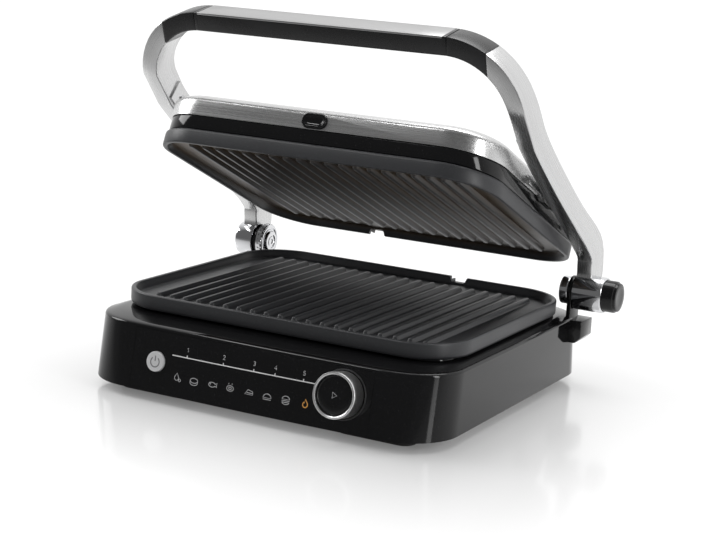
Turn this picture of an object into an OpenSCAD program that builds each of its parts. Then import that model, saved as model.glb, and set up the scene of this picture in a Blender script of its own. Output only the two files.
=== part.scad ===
// Electric indoor grill with a hinged lid, opened as in use.
// Millimetres, +Z up, +X to the user's right, -Y to the user.
// The origin is the middle of the base on the surface it stands on.

/* [Base] */
// How far the base stands out beside the lower plate
base_side = 7; // [5:0.5:12]
// How far the base's bottom edge stands out in front of the lower plate and behind it
base_front = 32; // [30:0.5:36]
// How far the middle of the front bows forward
base_bow = 4; // [1:0.5:6]
// Wall thickness of the housing
wall = 2.8; // [2:0.1:3.4]
// Height of the feet
foot_h = 8; // [6:0.5:11]
// Height of the upper edge of the base's sides
edge_z = 56; // [54:0.5:58]
// Height of the deck that the lower plate sits on
deck_z = 61; // [60.5:0.1:61.6]
// Thickness of the bottom cover
cover_t = 2.5; // [2:0.1:3.5]

/* [Plates] */
// Width of each grill plate
plate_w = 300; // [294:1:304]
// Depth of each grill plate
plate_d = 246; // [240:1:250]
// Corner radius of each grill plate
plate_r = 43; // [36:1:48]
// Height of a plate from its underside to its rim
plate_t = 12.5; // [11.5:0.1:13.5]
// Height of the lower plate's rim above the table
plate_z = 75; // [74.5:0.1:76]
// Width of the rim wall
rim_t = 4.5; // [3.5:0.1:6]
// Depth from the rim to the gutter
gutter_depth = 6.5; // [5.5:0.1:7]
// Height of the ribs above the gutter
rib_h = 3.4; // [2.5:0.1:4]
// Width of a rib at its foot
rib_w = 6.5; // [5:0.1:8]
// Distance from the side of a plate to the middle of its outer rib
rib_margin = 30.3; // [29:0.1:36]
// Number of ribs
rib_count = 20; // [16:1:20]
// Place of the lower plate's drain spout beside the middle
spout_x = 46; // [30:1:60]
// Gap between the two rims when the lid is shut
plate_gap = 1; // [0.5:0.1:2]

/* [Lid] */
// How far the lid's steel cover lies inside the outline of the plate
lid_inset = 1; // [0.5:0.5:3]
// Height of the black frame between plate and cover
frame_h = 11.2; // [10:0.1:13]
// Height of the steel cover
cover_h = 22; // [20:0.5:25]
// Thickness of the steel sheet
sheet_t = 1.2; // [0.8:0.1:1.6]
// How far the arms stand open, as in use
arm_open = 37; // [36:0.5:38]
// How far the lid is tilted up at the front, as it stands
lid_tilt = 23.5; // [20:0.5:26]
// Height of the lid's pivot above the shut rim
pivot_up = 32.5; // [30:0.5:34]
// Distance of the lid's pivot in front of the plate's middle
pivot_fwd = 4; // [0:1:8]

/* [Arms and handle] */
// Gap between the side of the lid and an arm
arm_gap = 7.5; // [7:0.1:9]
// Thickness of an arm and of the handle
arm_t = 13.5; // [12.5:0.1:15]
// Radius of the upper corners of the arms
bail_r = 63; // [55:1:70]
// How far the handle's top is turned towards the user
handle_lean = 12; // [8:1:16]
// How far the grip reaches into each upper corner
grip_over = 3; // [0:0.5:6]
// Distance in from an arm's outer face at which it meets the black end piece
seam_in = 28.5; // [26:0.5:34]
// Extra thickness of the handle over the arms
crown = 1.8; // [0:0.1:2.5]

/* [Hinge] */
// Distance of the hinge axis from the rear edge of the base
hinge_back = 37; // [35:0.5:39]
// Height of the hinge axis
hinge_z = 80; // [79:0.5:82]
// Radius of the hinge eyes at the foot of the arms
eye_r = 15.2; // [14.5:0.1:16]
// Radius of the hinge pins
pin_r = 6; // [5:0.1:7]
// Radius of the release button at the right hinge
release_r = 13.3; // [12.4:0.1:13.5]
// Travel of the release button
release_travel = 3; // [2:0.5:4]

/* [Controls] */
// Distance of the panel's side seams from the sides of the base
panel_side = 52; // [49:1:54]
// Lean of the front panel from upright
panel_tilt = 10; // [8:0.5:12]
// Distance of the knob's middle from the panel's right seam
knob_in = 23.3; // [22:0.1:27]
// Height of the knob's middle
knob_z = 35.5; // [34:0.5:36.5]
// Radius of the knob
knob_r = 17.5; // [16:0.5:17.5]
// How far the knob stands out from the panel
knob_h = 15.6; // [13:0.1:17]
// Radius of the dished ring behind the knob
bezel_r = 19.2; // [18.8:0.1:19.4]
// Distance of the power button's middle from the panel's left seam
power_in = 22.4; // [19:0.1:27]
// Height of the power button's middle
power_z = 32; // [30:0.5:34]
// Radius of the power button
power_r = 7.9; // [7:0.1:9]
// Travel of the start and power buttons
press_travel = 1.2; // [0.8:0.1:1.5]

/* [Drip tray] */
// Width of the drip tray
tray_w = 138; // [120:1:150]
// Depth of the drip tray
tray_d = 76; // [60:1:80]
// Height of the drip tray
tray_h = 23; // [20:0.5:24]

/* [Hidden] */
$fn = 64;

// Clearances: between faces of different bodies, between seated faces, and of a running fit
gap = 0.3;
seat = 0.15;
run_gap = 0.05;
// Overlap that lets solids of one piece fuse, and length that cuts right through
fuse = 0.5;
beyond = 200;
// Thickness of the slabs that the housing is lofted between
slab_t = 0.01;
corner_steps = 10;
bow_steps = 10;

// Sizes that follow from the plates
base_w = plate_w + 2 * base_side;
base_d = plate_d + 2 * base_front;
base_top_d = base_d - 2 * tan(panel_tilt) * (edge_z - foot_h);
base_r = plate_r;
lid_w = plate_w - 2 * lid_inset;
lid_d = plate_d - 2 * lid_inset;
arm_span = lid_w + 2 * (arm_t + arm_gap);
grip_len = arm_span - 2 * (bail_r - grip_over);
hinge_y = base_d / 2 - hinge_back;
panel_half_w = base_w / 2 - panel_side;
knob_x = panel_half_w - knob_in;
power_x = power_in - panel_half_w;
rib_pitch = (plate_w - 2 * rib_margin) / (rib_count - 1);

// Colours
gloss_black = [0.07, 0.07, 0.075];
matt_black = [0.13, 0.13, 0.14];
cast_grey = [0.24, 0.24, 0.25];
steel = [0.68, 0.68, 0.69];
chrome = [0.8, 0.8, 0.82];
rubber = [0.1, 0.1, 0.1];
board_green = [0.08, 0.3, 0.16];
ceramic_white = [0.85, 0.84, 0.8];

// ---- Outlines -------------------------------------------------------------

function arc_points(cx, cy, r, a0, a1) = [
    for (i = [0 : corner_steps])
        let (a = a0 + (a1 - a0) * i / corner_steps) [cx + r * cos(a), cy + r * sin(a)]
];

function front_points(w, d, r) = [
    for (i = [1 : bow_steps - 1]) [(w / 2 - r) * (2 * i / bow_steps - 1), -d / 2]
];

// Rounded rectangle, anticlockwise from the front left corner
function rounded_points(w, d, r) = concat(
    arc_points(r - w / 2, r - d / 2, r, 180, 270),
    front_points(w, d, r),
    arc_points(w / 2 - r, r - d / 2, r, 270, 360),
    arc_points(w / 2 - r, d / 2 - r, r, 0, 90),
    arc_points(r - w / 2, d / 2 - r, r, 90, 180)
);

function bow_at(x) = base_bow * (1 - pow(2 * x / base_w, 2));

function bowed(points) = [for (p = points) [p.x, p.y < 0 ? p.y - bow_at(p.x) : p.y]];

// Depth of the base at a height, and the y of its front face there
function depth_at(z) = base_d + (base_top_d - base_d) * (z - foot_h) / (edge_z - foot_h);
function front_y(x, z) = -depth_at(z) / 2 - bow_at(x);

// Catmull-Rom curve through points of any size, n steps between two points
function between(a, b, c, d, t) = 0.5 * (2 * b + (c - a) * t + (2 * a - 5 * b + 4 * c - d) * t * t
    + (3 * b - a - 3 * c + d) * t * t * t);
function curve(p, n) = [
    for (i = [0 : len(p) - 2]) for (k = [0 : n - 1])
        between(p[max(i - 1, 0)], p[i], p[i + 1], p[min(i + 2, len(p) - 1)], k / n),
    p[len(p) - 1]
];

// One side of a band whose points hold [y, z, half width]
function band_side(p, s, grow) = [
    for (i = [0 : len(p) - 1])
        let (t = p[min(i + 1, len(p) - 1)] - p[max(i - 1, 0)], l = norm([t.x, t.y]), h = p[i].z + grow)
            [p[i].x - s * h * t.y / l, p[i].y + s * h * t.x / l]
];
function reversed(p) = [for (i = [len(p) - 1 : -1 : 0]) p[i]];
function band(p, grow) = concat(band_side(p, -1, grow), reversed(band_side(p, 1, grow)));

// ---- Shared shapes ----------------------------------------------------------

module rounded_block(w, d, r, z0, z1) {
    translate([0, 0, z0]) linear_extrude(z1 - z0) {
        square([w - 2 * r, d], center = true);
        square([w, d - 2 * r], center = true);
        for (x = [-1, 1], y = [-1, 1]) translate([x * (w / 2 - r), y * (d / 2 - r)]) circle(r);
    }
}

module x_cylinder(x0, x1, r, y = hinge_y, z = hinge_z) {
    translate([x0, y, z]) rotate([0, 90, 0]) cylinder(h = x1 - x0, r = r);
}

module box(low, high) {
    translate(low) cube(high - low);
}

// A slab with round corners and a moulded edge: profile points are [radius, z] in a corner
module edge_form(w, d, r, profile, z0, z1) {
    box([r - w / 2, r - d / 2, z0], [w / 2 - r, d / 2 - r, z1]);
    for (x = [0, 1], y = [0, 1]) mirror([x, 0, 0]) mirror([0, y, 0])
        translate([w / 2 - r, d / 2 - r, 0]) rotate_extrude(angle = 90) polygon(profile);
    for (m = [0, 1]) mirror([m, 0, 0])
        translate([w / 2 - r, d / 2 - r, 0]) rotate([90, 0, 0]) linear_extrude(d - 2 * r) polygon(profile);
    for (m = [0, 1]) mirror([0, m, 0])
        translate([r - w / 2, d / 2 - r, 0]) rotate([90, 0, 90]) linear_extrude(w - 2 * r) polygon(profile);
}

// Closed loop of tube with round corners, flat at height z
module tube_loop(w, d, r, tube_r, z) {
    for (x = [0, 1], y = [0, 1]) mirror([x, 0, 0]) mirror([0, y, 0])
        translate([w / 2 - r, d / 2 - r, z]) rotate_extrude(angle = 90) translate([r, 0])
            circle(tube_r, $fn = 24);
    for (m = [0, 1]) mirror([0, m, 0])
        translate([r - w / 2, d / 2, z]) rotate([0, 90, 0]) cylinder(h = w - 2 * r, r = tube_r, $fn = 24);
    for (m = [0, 1]) mirror([m, 0, 0])
        translate([w / 2, r - d / 2, z]) rotate([-90, 0, 0]) cylinder(h = d - 2 * r, r = tube_r, $fn = 24);
}

module stadium(w, h) {
    square([w - h, h], center = true);
    for (s = [-1, 1]) translate([s * (w - h) / 2, 0]) circle(h / 2);
}

// ---- Frames of reference ------------------------------------------------------

// A place on the front panel: X across, Y up the panel, Z straight out of it
module on_panel(x, z) {
    translate([x, front_y(x, z), z]) rotate([90 - panel_tilt, 0, 0]) children();
}

// The lid is drawn shut; this carries it to where it stands
pivot_shut = [0, -pivot_fwd, plate_z + plate_gap + pivot_up];
pivot_reach = [pivot_shut.y - hinge_y, pivot_shut.z - hinge_z];
pivot_open = [0,
    hinge_y + pivot_reach.x * cos(arm_open) + pivot_reach.y * sin(arm_open),
    hinge_z - pivot_reach.x * sin(arm_open) + pivot_reach.y * cos(arm_open)];
module lid_place() {
    translate(pivot_open) rotate([-lid_tilt, 0, 0]) translate(-pivot_shut) children();
}

// ---- Base -------------------------------------------------------------------------

edge_drop = 2.2;
edge_inset = 2.6;
deck_w = plate_w - 10;
deck_d = plate_d - 10;
deck_r = plate_r - 5;

module base_slab(z, w, d, r) {
    translate([0, 0, z]) linear_extrude(slab_t) polygon(bowed(rounded_points(w, d, r)));
}

module side_loft(inset, z0) {
    hull() {
        base_slab(z0, base_w - 2 * inset, depth_at(z0) - 2 * inset, base_r - inset);
        base_slab(edge_z - inset / 2, base_w - 2 * inset, base_top_d - 2 * inset, base_r - inset);
    }
}

module shoulder_loft(inset) {
    low = edge_z - inset / 2;
    high = edge_z + edge_drop - inset;
    hull() {
        base_slab(low, base_w - 2 * inset, base_top_d - 2 * inset, base_r - inset);
        base_slab(high, base_w - 2 * (inset + edge_inset), base_top_d - 2 * (inset + edge_inset),
            base_r - inset - edge_inset);
    }
    hull() {
        base_slab(high, base_w - 2 * (inset + edge_inset), base_top_d - 2 * (inset + edge_inset),
            base_r - inset - edge_inset);
        translate([0, 0, deck_z - inset - slab_t])
            linear_extrude(slab_t) polygon(rounded_points(deck_w, deck_d, deck_r));
    }
}

// Well in the deck, and the neck around it that carries the plate
well_w = plate_w - 32;
well_d = plate_d - 32;
well_r = plate_r - 13;
ledge = 4;
neck_t = 4;
plate_low = plate_z - plate_t;

// Places of the screw bosses, mirrored to both sides
boss_x = base_w / 2 - 29;
boss_y = base_d / 2 - 43;
boss_r = 5;
screw_r = 1.6;

// Rear bay for the drip tray
tray_low = foot_h + cover_t + gap;
tray_high = tray_low + tray_h + gap;

// Drain through the deck behind the lower plate's spout, with a chute down to the tray
spout_w = 20;
spout_l = 8;
drain_w = spout_w + 8;
drain_d = 13;
drain_y = plate_d / 2 + 7;
chute_wall = 2;

// Brackets of the hinge
bracket_low = 38;
bracket_high = 57;
bracket_x1 = arm_span / 2 - 3;
bracket_x0 = bracket_x1 - 26;
bracket_d = 26;
lug_t = 4;
lug_x0 = arm_span / 2 - arm_t - lug_t - 1.2;

// Panel window
panel_top = edge_z - 0.4;
panel_back = 12 - base_top_d / 2;

// Cable gland in the rear wall
gland_x = 42 - base_w / 2;
gland_z = 26;
gland_r = 7;

// Latch of the lower plate in the left wall
latch_w = 28;
latch_z0 = 38;
latch_z1 = 50;
latch_stem_x = plate_w / 2 - 6;

module bracket_block(clear) {
    box([bracket_x0 - clear, hinge_y - bracket_d / 2 - clear, bracket_low - clear],
        [bracket_x1 + clear, hinge_y + bracket_d / 2 + clear, bracket_high + clear]);
}

// Walls of the chute: they end inside the rear wall and inside the deck's own thickness
module chute_form() {
    front = drain_y - chute_wall;
    half_wall = wall / 2;
    translate([spout_x - drain_w / 2 - chute_wall, 0, 0]) rotate([90, 0, 90])
        linear_extrude(drain_w + 2 * chute_wall) polygon([
            [front, tray_low],
            [depth_at(tray_low) / 2 - half_wall, tray_low],
            [base_top_d / 2 - half_wall, edge_z - half_wall],
            [drain_y + drain_d - half_wall, edge_z],
            [front, deck_z - wall]]);
}

module base_housing() {
    color(gloss_black) difference() {
        union() {
            difference() {
                union() {
                    side_loft(0, foot_h);
                    shoulder_loft(0);
                }
                side_loft(wall, foot_h - slab_t);
                shoulder_loft(wall);
            }
            rounded_block(well_w + 2 * (ledge + neck_t), well_d + 2 * (ledge + neck_t),
                well_r + ledge + neck_t,
                deck_z - fuse, plate_low - gap);
            for (x = [-1, 1], y = [-1, 1]) translate([x * boss_x, y * boss_y, foot_h + cover_t + seat])
                cylinder(h = deck_z - 2 - foot_h - cover_t - seat, r = boss_r);
            chute_form();
        }
        rounded_block(well_w, well_d, well_r, deck_z - 2 * wall, deck_z + beyond);
        rounded_block(well_w + 2 * ledge, well_d + 2 * ledge, well_r + ledge, deck_z, deck_z + beyond);
        box([-panel_half_w - seat, -beyond, 0], [panel_half_w + seat, panel_back, panel_top + seat]);
        for (x = [-1, 1], y = [-1, 1]) translate([x * boss_x, y * boss_y, 0])
            cylinder(h = 2 * foot_h + 20, r = screw_r);
        box([spout_x - drain_w / 2, drain_y, tray_low],
            [spout_x + drain_w / 2, drain_y + drain_d, beyond]);
        box([-tray_w / 2 - gap, base_d / 2 - 30, tray_low - seat], [tray_w / 2 + gap, beyond, tray_high]);
        for (m = [0, 1]) mirror([m, 0, 0]) {
            bracket_block(seat);
            box([bracket_x0 - seat, hinge_y - bracket_d / 2 - seat, bracket_high],
                [base_w, hinge_y + bracket_d / 2 + seat, deck_z + beyond]);
        }
        translate([gland_x, 0, gland_z]) rotate([-90, 0, 0]) cylinder(h = beyond, r = gland_r + run_gap);
        box([-beyond, -latch_w / 2 - gap, latch_z0 - gap],
            [-base_w / 2 + 12, latch_w / 2 + gap, latch_z1 + gap]);
        box([-latch_stem_x - 6, -10, latch_z0], [-latch_stem_x + 3, 10, deck_z + beyond]);
    }
}

cover_inset = wall + 1;
post_h = 4.5;
board_t = 1.6;
power_board_x = -60;
power_board_y = 15;
power_board_w = 110;
power_board_d = 80;

module bottom_cover() {
    color(matt_black) difference() {
        union() {
            translate([0, 0, foot_h]) linear_extrude(cover_t) polygon(bowed(rounded_points(
                base_w - 2 * cover_inset, base_d - 2 * cover_inset, base_r - cover_inset)));
            for (x = [-1, 1], y = [-1, 1])
                translate([power_board_x + x * (power_board_w / 2 - 6),
                    power_board_y + y * (power_board_d / 2 - 6),
                    foot_h + cover_t - fuse]) cylinder(h = post_h + fuse, r = 3);
            // Rails that guide the drip tray
            for (s = [-1, 1]) translate([s * (tray_w / 2 + 3), base_d / 2 - tray_d / 2 - 10,
                foot_h + cover_t + 4])
                cube([4, tray_d, 9], center = true);
        }
        for (x = [-1, 1], y = [-1, 1]) translate([x * boss_x, y * boss_y, foot_h - fuse]) {
            cylinder(h = 2 * cover_t, r = screw_r + 0.2);
            cylinder(h = fuse + 1.4, r = 3.4);
        }
        // Air slots under the heater
        for (i = [-6 : 6]) box([i * 12 - 2, -95, 0], [i * 12 + 2, -55, beyond]);
    }
}

foot_w = 66;
foot_d = 22;
foot_x = base_w / 2 - 59;
foot_y = base_d / 2 - 29;

module feet() {
    color(rubber) for (x = [-1, 1], y = [-1, 1]) translate([x * foot_x, y * foot_y, 0]) {
        translate([0, 0, 1]) linear_extrude(foot_h - 1) stadium(foot_w, foot_d);
        linear_extrude(1 + fuse) stadium(foot_w - 2, foot_d - 2);
    }
}

module cover_screws() {
    color(chrome) for (x = [-1, 1], y = [-1, 1]) translate([x * boss_x, y * boss_y, foot_h + 0.1])
        difference() {
        union() {
            cylinder(h = 1.2, r = 3.2);
            cylinder(h = 16, r = screw_r - run_gap);
        }
        translate([-2.6, -0.5, -1]) cube([5.2, 1, 1.7]);
        translate([-0.5, -2.6, -1]) cube([1, 5.2, 1.7]);
    }
}

module cable_gland() {
    gland_y = depth_at(gland_z) / 2;
    color(matt_black) translate([gland_x, gland_y, gland_z]) rotate([-90, 0, 0]) difference() {
        union() {
            translate([0, 0, -wall - 6.5]) cylinder(h = wall + 10, r = gland_r);
            for (z = [-wall - 6.5, 2.5]) translate([0, 0, z]) cylinder(h = 4, r = gland_r + 3);
        }
        translate([0, 0, -beyond / 2]) cylinder(h = beyond, r = 3.6);
    }
}

// ---- Front panel and its controls ---------------------------------------------------

board_w = 2 * panel_half_w - 14;
board_h = 34;
board_z = 31;
board_back = -18;
board_front = board_back + board_t;
board_post_x = [5 - board_w / 2, knob_x - 24.7];

// How far the bowed panel lies behind its middle, measured straight into the base
function panel_fall(x) = (front_y(x, board_z) - front_y(0, board_z)) * cos(panel_tilt);

module control_panel() {
    color(gloss_black) difference() {
        union() {
            intersection() {
                difference() {
                    side_loft(0, foot_h);
                    side_loft(wall, foot_h - slab_t);
                }
                box([-panel_half_w, -beyond, foot_h], [panel_half_w, panel_back - seat, panel_top]);
            }
            on_panel(0, board_z) for (x = board_post_x, y = [-1, 1])
                translate([x, y * (board_h / 2 - 4), board_front + seat])
                    cylinder(h = -board_front - seat - panel_fall(x) - wall / 2, r = 3);
        }
        on_panel(knob_x, knob_z) translate([0, 0, -10]) cylinder(h = 20, r = bezel_r + run_gap);
        on_panel(power_x, power_z) translate([0, 0, -10]) cylinder(h = 20, r = power_r + gap);
    }
}

hub_r = 6;
stem_r = 3;

module knob_bezel() {
    color(matt_black) on_panel(knob_x, knob_z) rotate_extrude() polygon([
        [hub_r + run_gap, -4.5], [bezel_r, -4.5], [bezel_r, 0.4], [bezel_r - 1.2, 0.6],
        [knob_r + 0.5, -1.4], [hub_r + run_gap, -1.4]
    ]);
}

cup_wall = 2.2;
web_t = 3;

module knob_ring() {
    color(chrome) on_panel(knob_x, knob_z) rotate_extrude() polygon([
        [stem_r + run_gap, -11], [hub_r, -11], [hub_r, 0.2], [knob_r - 0.6, 0.2], [knob_r, 0.8],
        [knob_r, knob_h - 1.2], [knob_r - 1, knob_h], [knob_r - cup_wall + 0.4, knob_h],
        [knob_r - cup_wall, knob_h - 0.8], [knob_r - cup_wall, web_t + 0.2], [stem_r + run_gap, web_t + 0.2]
    ]);
}

module start_button() {
    face_r = knob_r - cup_wall - gap;
    back = web_t + 0.2 + press_travel + gap;
    color(gloss_black) on_panel(knob_x, knob_z) rotate_extrude() polygon([
        [0, -12], [stem_r, -12], [stem_r, back], [face_r, back], [face_r, knob_h - 1.2],
        [face_r - 0.8, knob_h - 0.6], [face_r * 0.6, knob_h - 1.4], [0, knob_h - 1.8]
    ]);
}

module power_button() {
    // Upper face of the flange, clear of the bowed panel's inner face
    flange_z = -wall - 0.9;
    color(steel) on_panel(power_x, power_z) rotate_extrude() polygon([
        [0, -10], [2.5, -10], [2.5, flange_z], [power_r + 1, flange_z - 1.4], [power_r + 1, flange_z],
        [power_r, flange_z],
        [power_r, 1.6], [power_r - 0.8, 2.2], [power_r * 0.5, 1.9], [0, 1.8]
    ]);
}

module encoder() {
    size = 15;
    low = board_front + seat + panel_fall(knob_x);
    color(chrome) on_panel(knob_x, knob_z) difference() {
        translate([-size / 2, -size / 2, low]) cube([size, size, -8 - low]);
        translate([0, 0, -14]) cylinder(h = 20, r = hub_r + run_gap);
    }
}

module power_switch() {
    top = -10 - press_travel - gap;
    color(matt_black) on_panel(power_x, power_z) {
        low = board_front + seat + panel_fall(power_x);
        translate([-3.5, -3.5, low]) cube([7, 7, top - low]);
    }
}

module light_guide() {
    color(ceramic_white) on_panel(0, board_z)
        box([power_x + 10.6, -13, board_front + seat], [board_post_x[1] - 6, -4, -wall - 2.2]);
}

module control_board() {
    color(board_green) on_panel(0, board_z) {
        box([-board_w / 2, -board_h / 2, board_back], [board_w / 2, board_h / 2, board_front]);
        box([-20, -12, board_back - 3], [6, 8, board_back + fuse]);
        box([26, -8, board_back - 7], [44, 2, board_back + fuse]);
    }
}

module power_board() {
    low = foot_h + cover_t + post_h + seat;
    color(board_green) translate([power_board_x, power_board_y, low]) {
        box([-power_board_w / 2, -power_board_d / 2, 0], [power_board_w / 2, power_board_d / 2, board_t]);
        box([-40, -28, board_t - fuse], [-20, -12, 16]);
        box([-12, -28, board_t - fuse], [8, -12, 16]);
        box([-44, 18, board_t - fuse], [0, 30, 13]);
        translate([32, 12, board_t - fuse]) cylinder(h = 18, r = 7);
        box([18, -28, board_t - fuse], [44, -6, 14]);
    }
}

// ---- Plates and heaters ---------------------------------------------------------------

pocket_inset = 10;
pocket_h = 2.5;
rib_len = plate_d - 46;
rib_top_w = 2.6;
// Finger lug beside the spout
lug_r = 10.5;
lug_drop = 2.2;

// A plate with its rim up at z = 0
module plate_body() {
    floor_z = -gutter_depth;
    difference() {
        union() {
            edge_form(plate_w, plate_d, plate_r, [
                [0, -plate_t], [plate_r - 2, -plate_t], [plate_r - 0.6, -plate_t + 1.2],
                    [plate_r, -plate_t + 3],
                [plate_r, -0.8], [plate_r - 0.8, 0], [0, 0]
            ], -plate_t, 0);
            box([spout_x - spout_w / 2, plate_d / 2 - rim_t, -plate_t + gap],
                [spout_x + spout_w / 2, plate_d / 2 + spout_l, floor_z + 3]);
            translate([spout_x + spout_w / 2 + lug_r, plate_d / 2 - 2, -plate_t + gap])
                cylinder(h = plate_t - gap - lug_drop, r = lug_r);
        }
        rounded_block(plate_w - 2 * rim_t, plate_d - 2 * rim_t, plate_r - rim_t, floor_z, 1);
        rounded_block(plate_w - 2 * pocket_inset, plate_d - 2 * pocket_inset, plate_r - pocket_inset,
            -plate_t - 1, -plate_t + pocket_h);
        box([spout_x - spout_w / 2 + 2, plate_d / 2 - rim_t - 1, floor_z],
            [spout_x + spout_w / 2 - 2, plate_d / 2 + beyond, 1]);
    }
    for (i = [0 : rib_count - 1]) translate([(i - (rib_count - 1) / 2) * rib_pitch, rib_len / 2,
        floor_z - fuse])
        rotate([90, 0, 0]) linear_extrude(rib_len) polygon([
            [-rib_w / 2, 0], [rib_w / 2, 0], [rib_w / 2, fuse], [rib_top_w / 2 + 0.5, fuse + rib_h - 0.6],
            [rib_top_w / 2, fuse + rib_h], [-rib_top_w / 2, fuse + rib_h],
                [-rib_top_w / 2 - 0.5, fuse + rib_h - 0.6],
            [-rib_w / 2, fuse]
        ]);
}

module lower_plate() {
    color(cast_grey) translate([0, 0, plate_z]) plate_body();
}

module upper_plate() {
    color(cast_grey) lid_place() translate([0, 0, plate_z + plate_gap]) rotate([0, 180, 0]) plate_body();
}

heater_r = 3.3;
heater_w = plate_w - 74;
heater_d = plate_d - 74;
heater_r2 = 28;
inner_loop = 46;
reflector_t = 1;
reflector_drop = 17;
sensor_r = 9;
terminal_x = 20;

// Two loops of tube at height z, the bridges between them, and cold ends from low to high
module heater_tubes(z, low, high) {
    tube_loop(heater_w, heater_d, heater_r2, heater_r, z);
    tube_loop(heater_w - 2 * inner_loop, heater_d - 2 * inner_loop, heater_r2 / 2, heater_r, z);
    for (s = [-1, 1]) {
        translate([s * terminal_x, heater_d / 2 - inner_loop, z]) rotate([-90, 0, 0])
            cylinder(h = inner_loop, r = heater_r * 0.9, $fn = 24);
        translate([s * terminal_x * 2, heater_d / 2, low])
            cylinder(h = high - low, r = heater_r * 0.9, $fn = 24);
    }
}

module clip_posts(low, high) {
    for (p = [[1, 0.5], [0.5, 1]], x = [-1, 1], y = [-1, 1])
        translate([x * p.x * heater_w / 2, y * p.y * heater_d / 2, low]) cylinder(h = high - low, r = 3);
}

module sensor_body(top, floor_z) {
    translate([0, 0, floor_z + seat]) cylinder(h = 5, r = sensor_r);
    translate([0, 0, floor_z + seat]) cylinder(h = top - gap - floor_z - seat, r = 4);
    for (s = [-1, 1]) translate([s * (sensor_r + 2), 0, floor_z + seat]) cylinder(h = 2, r = 3.5);
}

module reflector_pan(w, d, r, rim_w, rim_z, floor_z) {
    difference() {
        union() {
            rounded_block(w, d, r, floor_z - reflector_t, rim_z);
            rounded_block(w + 2 * rim_w, d + 2 * rim_w, r + rim_w, rim_z, rim_z + reflector_t);
        }
        rounded_block(w - 2 * reflector_t, d - 2 * reflector_t, r - reflector_t, floor_z, rim_z + beyond);
        for (s = [-1, 1]) translate([s * terminal_x * 2, heater_d / 2, floor_z - 2 * reflector_t])
            cylinder(h = 4 * reflector_t, r = heater_r + 1.5);
    }
}

lower_top = plate_low + pocket_h;
lower_floor = deck_z - reflector_drop + reflector_t;

module lower_reflector() {
    color(steel) reflector_pan(well_w - 2 * seat, well_d - 2 * seat, well_r, ledge - seat, deck_z,
        lower_floor);
}

module lower_heater() {
    z = lower_top - gap - heater_r;
    color(matt_black) heater_tubes(z, z - 19, z);
}

module lower_heater_clips() {
    color(steel) clip_posts(lower_floor, lower_top - gap - 2 * heater_r - seat);
}

module lower_sensor() {
    color(ceramic_white) sensor_body(lower_top, lower_floor);
}

module plate_latch() {
    wall_x = base_w / 2;
    color(matt_black) {
        box([-wall_x - 1.5, -latch_w / 2, latch_z0], [-wall_x + wall + 1, latch_w / 2, latch_z1]);
        box([-wall_x + wall, -8, latch_z0], [-latch_stem_x, 8, latch_z0 + 4]);
        box([-latch_stem_x - 2, -8, latch_z0], [-latch_stem_x, 8, plate_low - gap]);
    }
}

module drip_tray() {
    back_y = depth_at(tray_low + tray_h) / 2;
    color(matt_black) translate([0, 0, tray_low]) difference() {
        union() {
            box([-tray_w / 2, back_y - tray_d, 0], [tray_w / 2, back_y, tray_h]);
            box([-24, back_y - fuse, tray_h - 7], [24, back_y + 4, tray_h - 3]);
        }
        box([-tray_w / 2 + 2, back_y - tray_d + 2, 2], [tray_w / 2 - 2, back_y - 3, beyond]);
    }
}

// ---- Hinge ----------------------------------------------------------------------------

module hinge_bracket() {
    difference() {
        union() {
            bracket_block(0);
            box([lug_x0, hinge_y - 10, bracket_high - fuse], [lug_x0 + lug_t, hinge_y + 10, hinge_z]);
            x_cylinder(lug_x0, lug_x0 + lug_t, eye_r - 2.2);
        }
        x_cylinder(lug_x0 - 1, lug_x0 + lug_t + 1, pin_r + run_gap);
        // Chamfered outer edge of the block
        translate([bracket_x1, 0, bracket_low]) rotate([0, 45, 0]) cube([7, beyond * 3, 7], center = true);
    }
}

module hinge_bracket_right() {
    color(gloss_black) hinge_bracket();
}

module hinge_bracket_left() {
    color(gloss_black) mirror([1, 0, 0]) hinge_bracket();
}

eye_x1 = arm_span / 2 + 12;
pin_end = arm_span / 2 + 1;
head_t = 7.3;

module hinge_pin_right() {
    color(chrome) {
        x_cylinder(lug_x0 - head_t, lug_x0, eye_r - 3.4);
        x_cylinder(lug_x0 - fuse, pin_end, pin_r);
    }
}

module hinge_pin_left() {
    color(chrome) mirror([1, 0, 0]) {
        x_cylinder(lug_x0 - head_t - 1, lug_x0 - head_t + 1, pin_r + 3);
        x_cylinder(lug_x0 - head_t, pin_end, pin_r);
    }
}

hub_teeth = 24;

module hinge_hub_left() {
    hub_x1 = lug_x0 - seat;
    hub_x0 = lug_x0 - head_t + 1 + seat;
    color(chrome) mirror([1, 0, 0]) difference() {
        x_cylinder(hub_x0, hub_x1, eye_r + 0.6);
        x_cylinder(hub_x0 - 1, hub_x1 + 1, pin_r + run_gap);
        for (i = [0 : hub_teeth - 1]) translate([0, hinge_y, hinge_z]) rotate([360 / hub_teeth * i, 0, 0])
            box([hub_x0 - 1, eye_r - 0.7, -0.8], [hub_x1 - 1.5, eye_r + 3, 0.8]);
    }
}

module hinge_washers() {
    color(chrome) for (m = [0, 1]) mirror([m, 0, 0]) difference() {
        x_cylinder(lug_x0 + lug_t + seat, arm_inner - gap, eye_r - 4);
        x_cylinder(lug_x0, arm_inner + 1, pin_r + run_gap);
    }
}

release_x0 = pin_end + release_travel + 2 * gap;
release_x1 = eye_x1 + 12;

module release_button() {
    color(gloss_black) translate([0, hinge_y, hinge_z]) rotate([0, 90, 0]) rotate_extrude() polygon([
        [release_r - 2.2, release_x0], [release_r, release_x0], [release_r, release_x1 - 3.2],
        [release_r - 0.8, release_x1 - 2.6], [release_r - 1.4, release_x1 - 0.6],
            [release_r - 2.2, release_x1],
        [0, release_x1 - 0.6], [0, release_x1 - 4.5], [release_r - 2.2, release_x1 - 4.5]
    ]);
}

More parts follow.
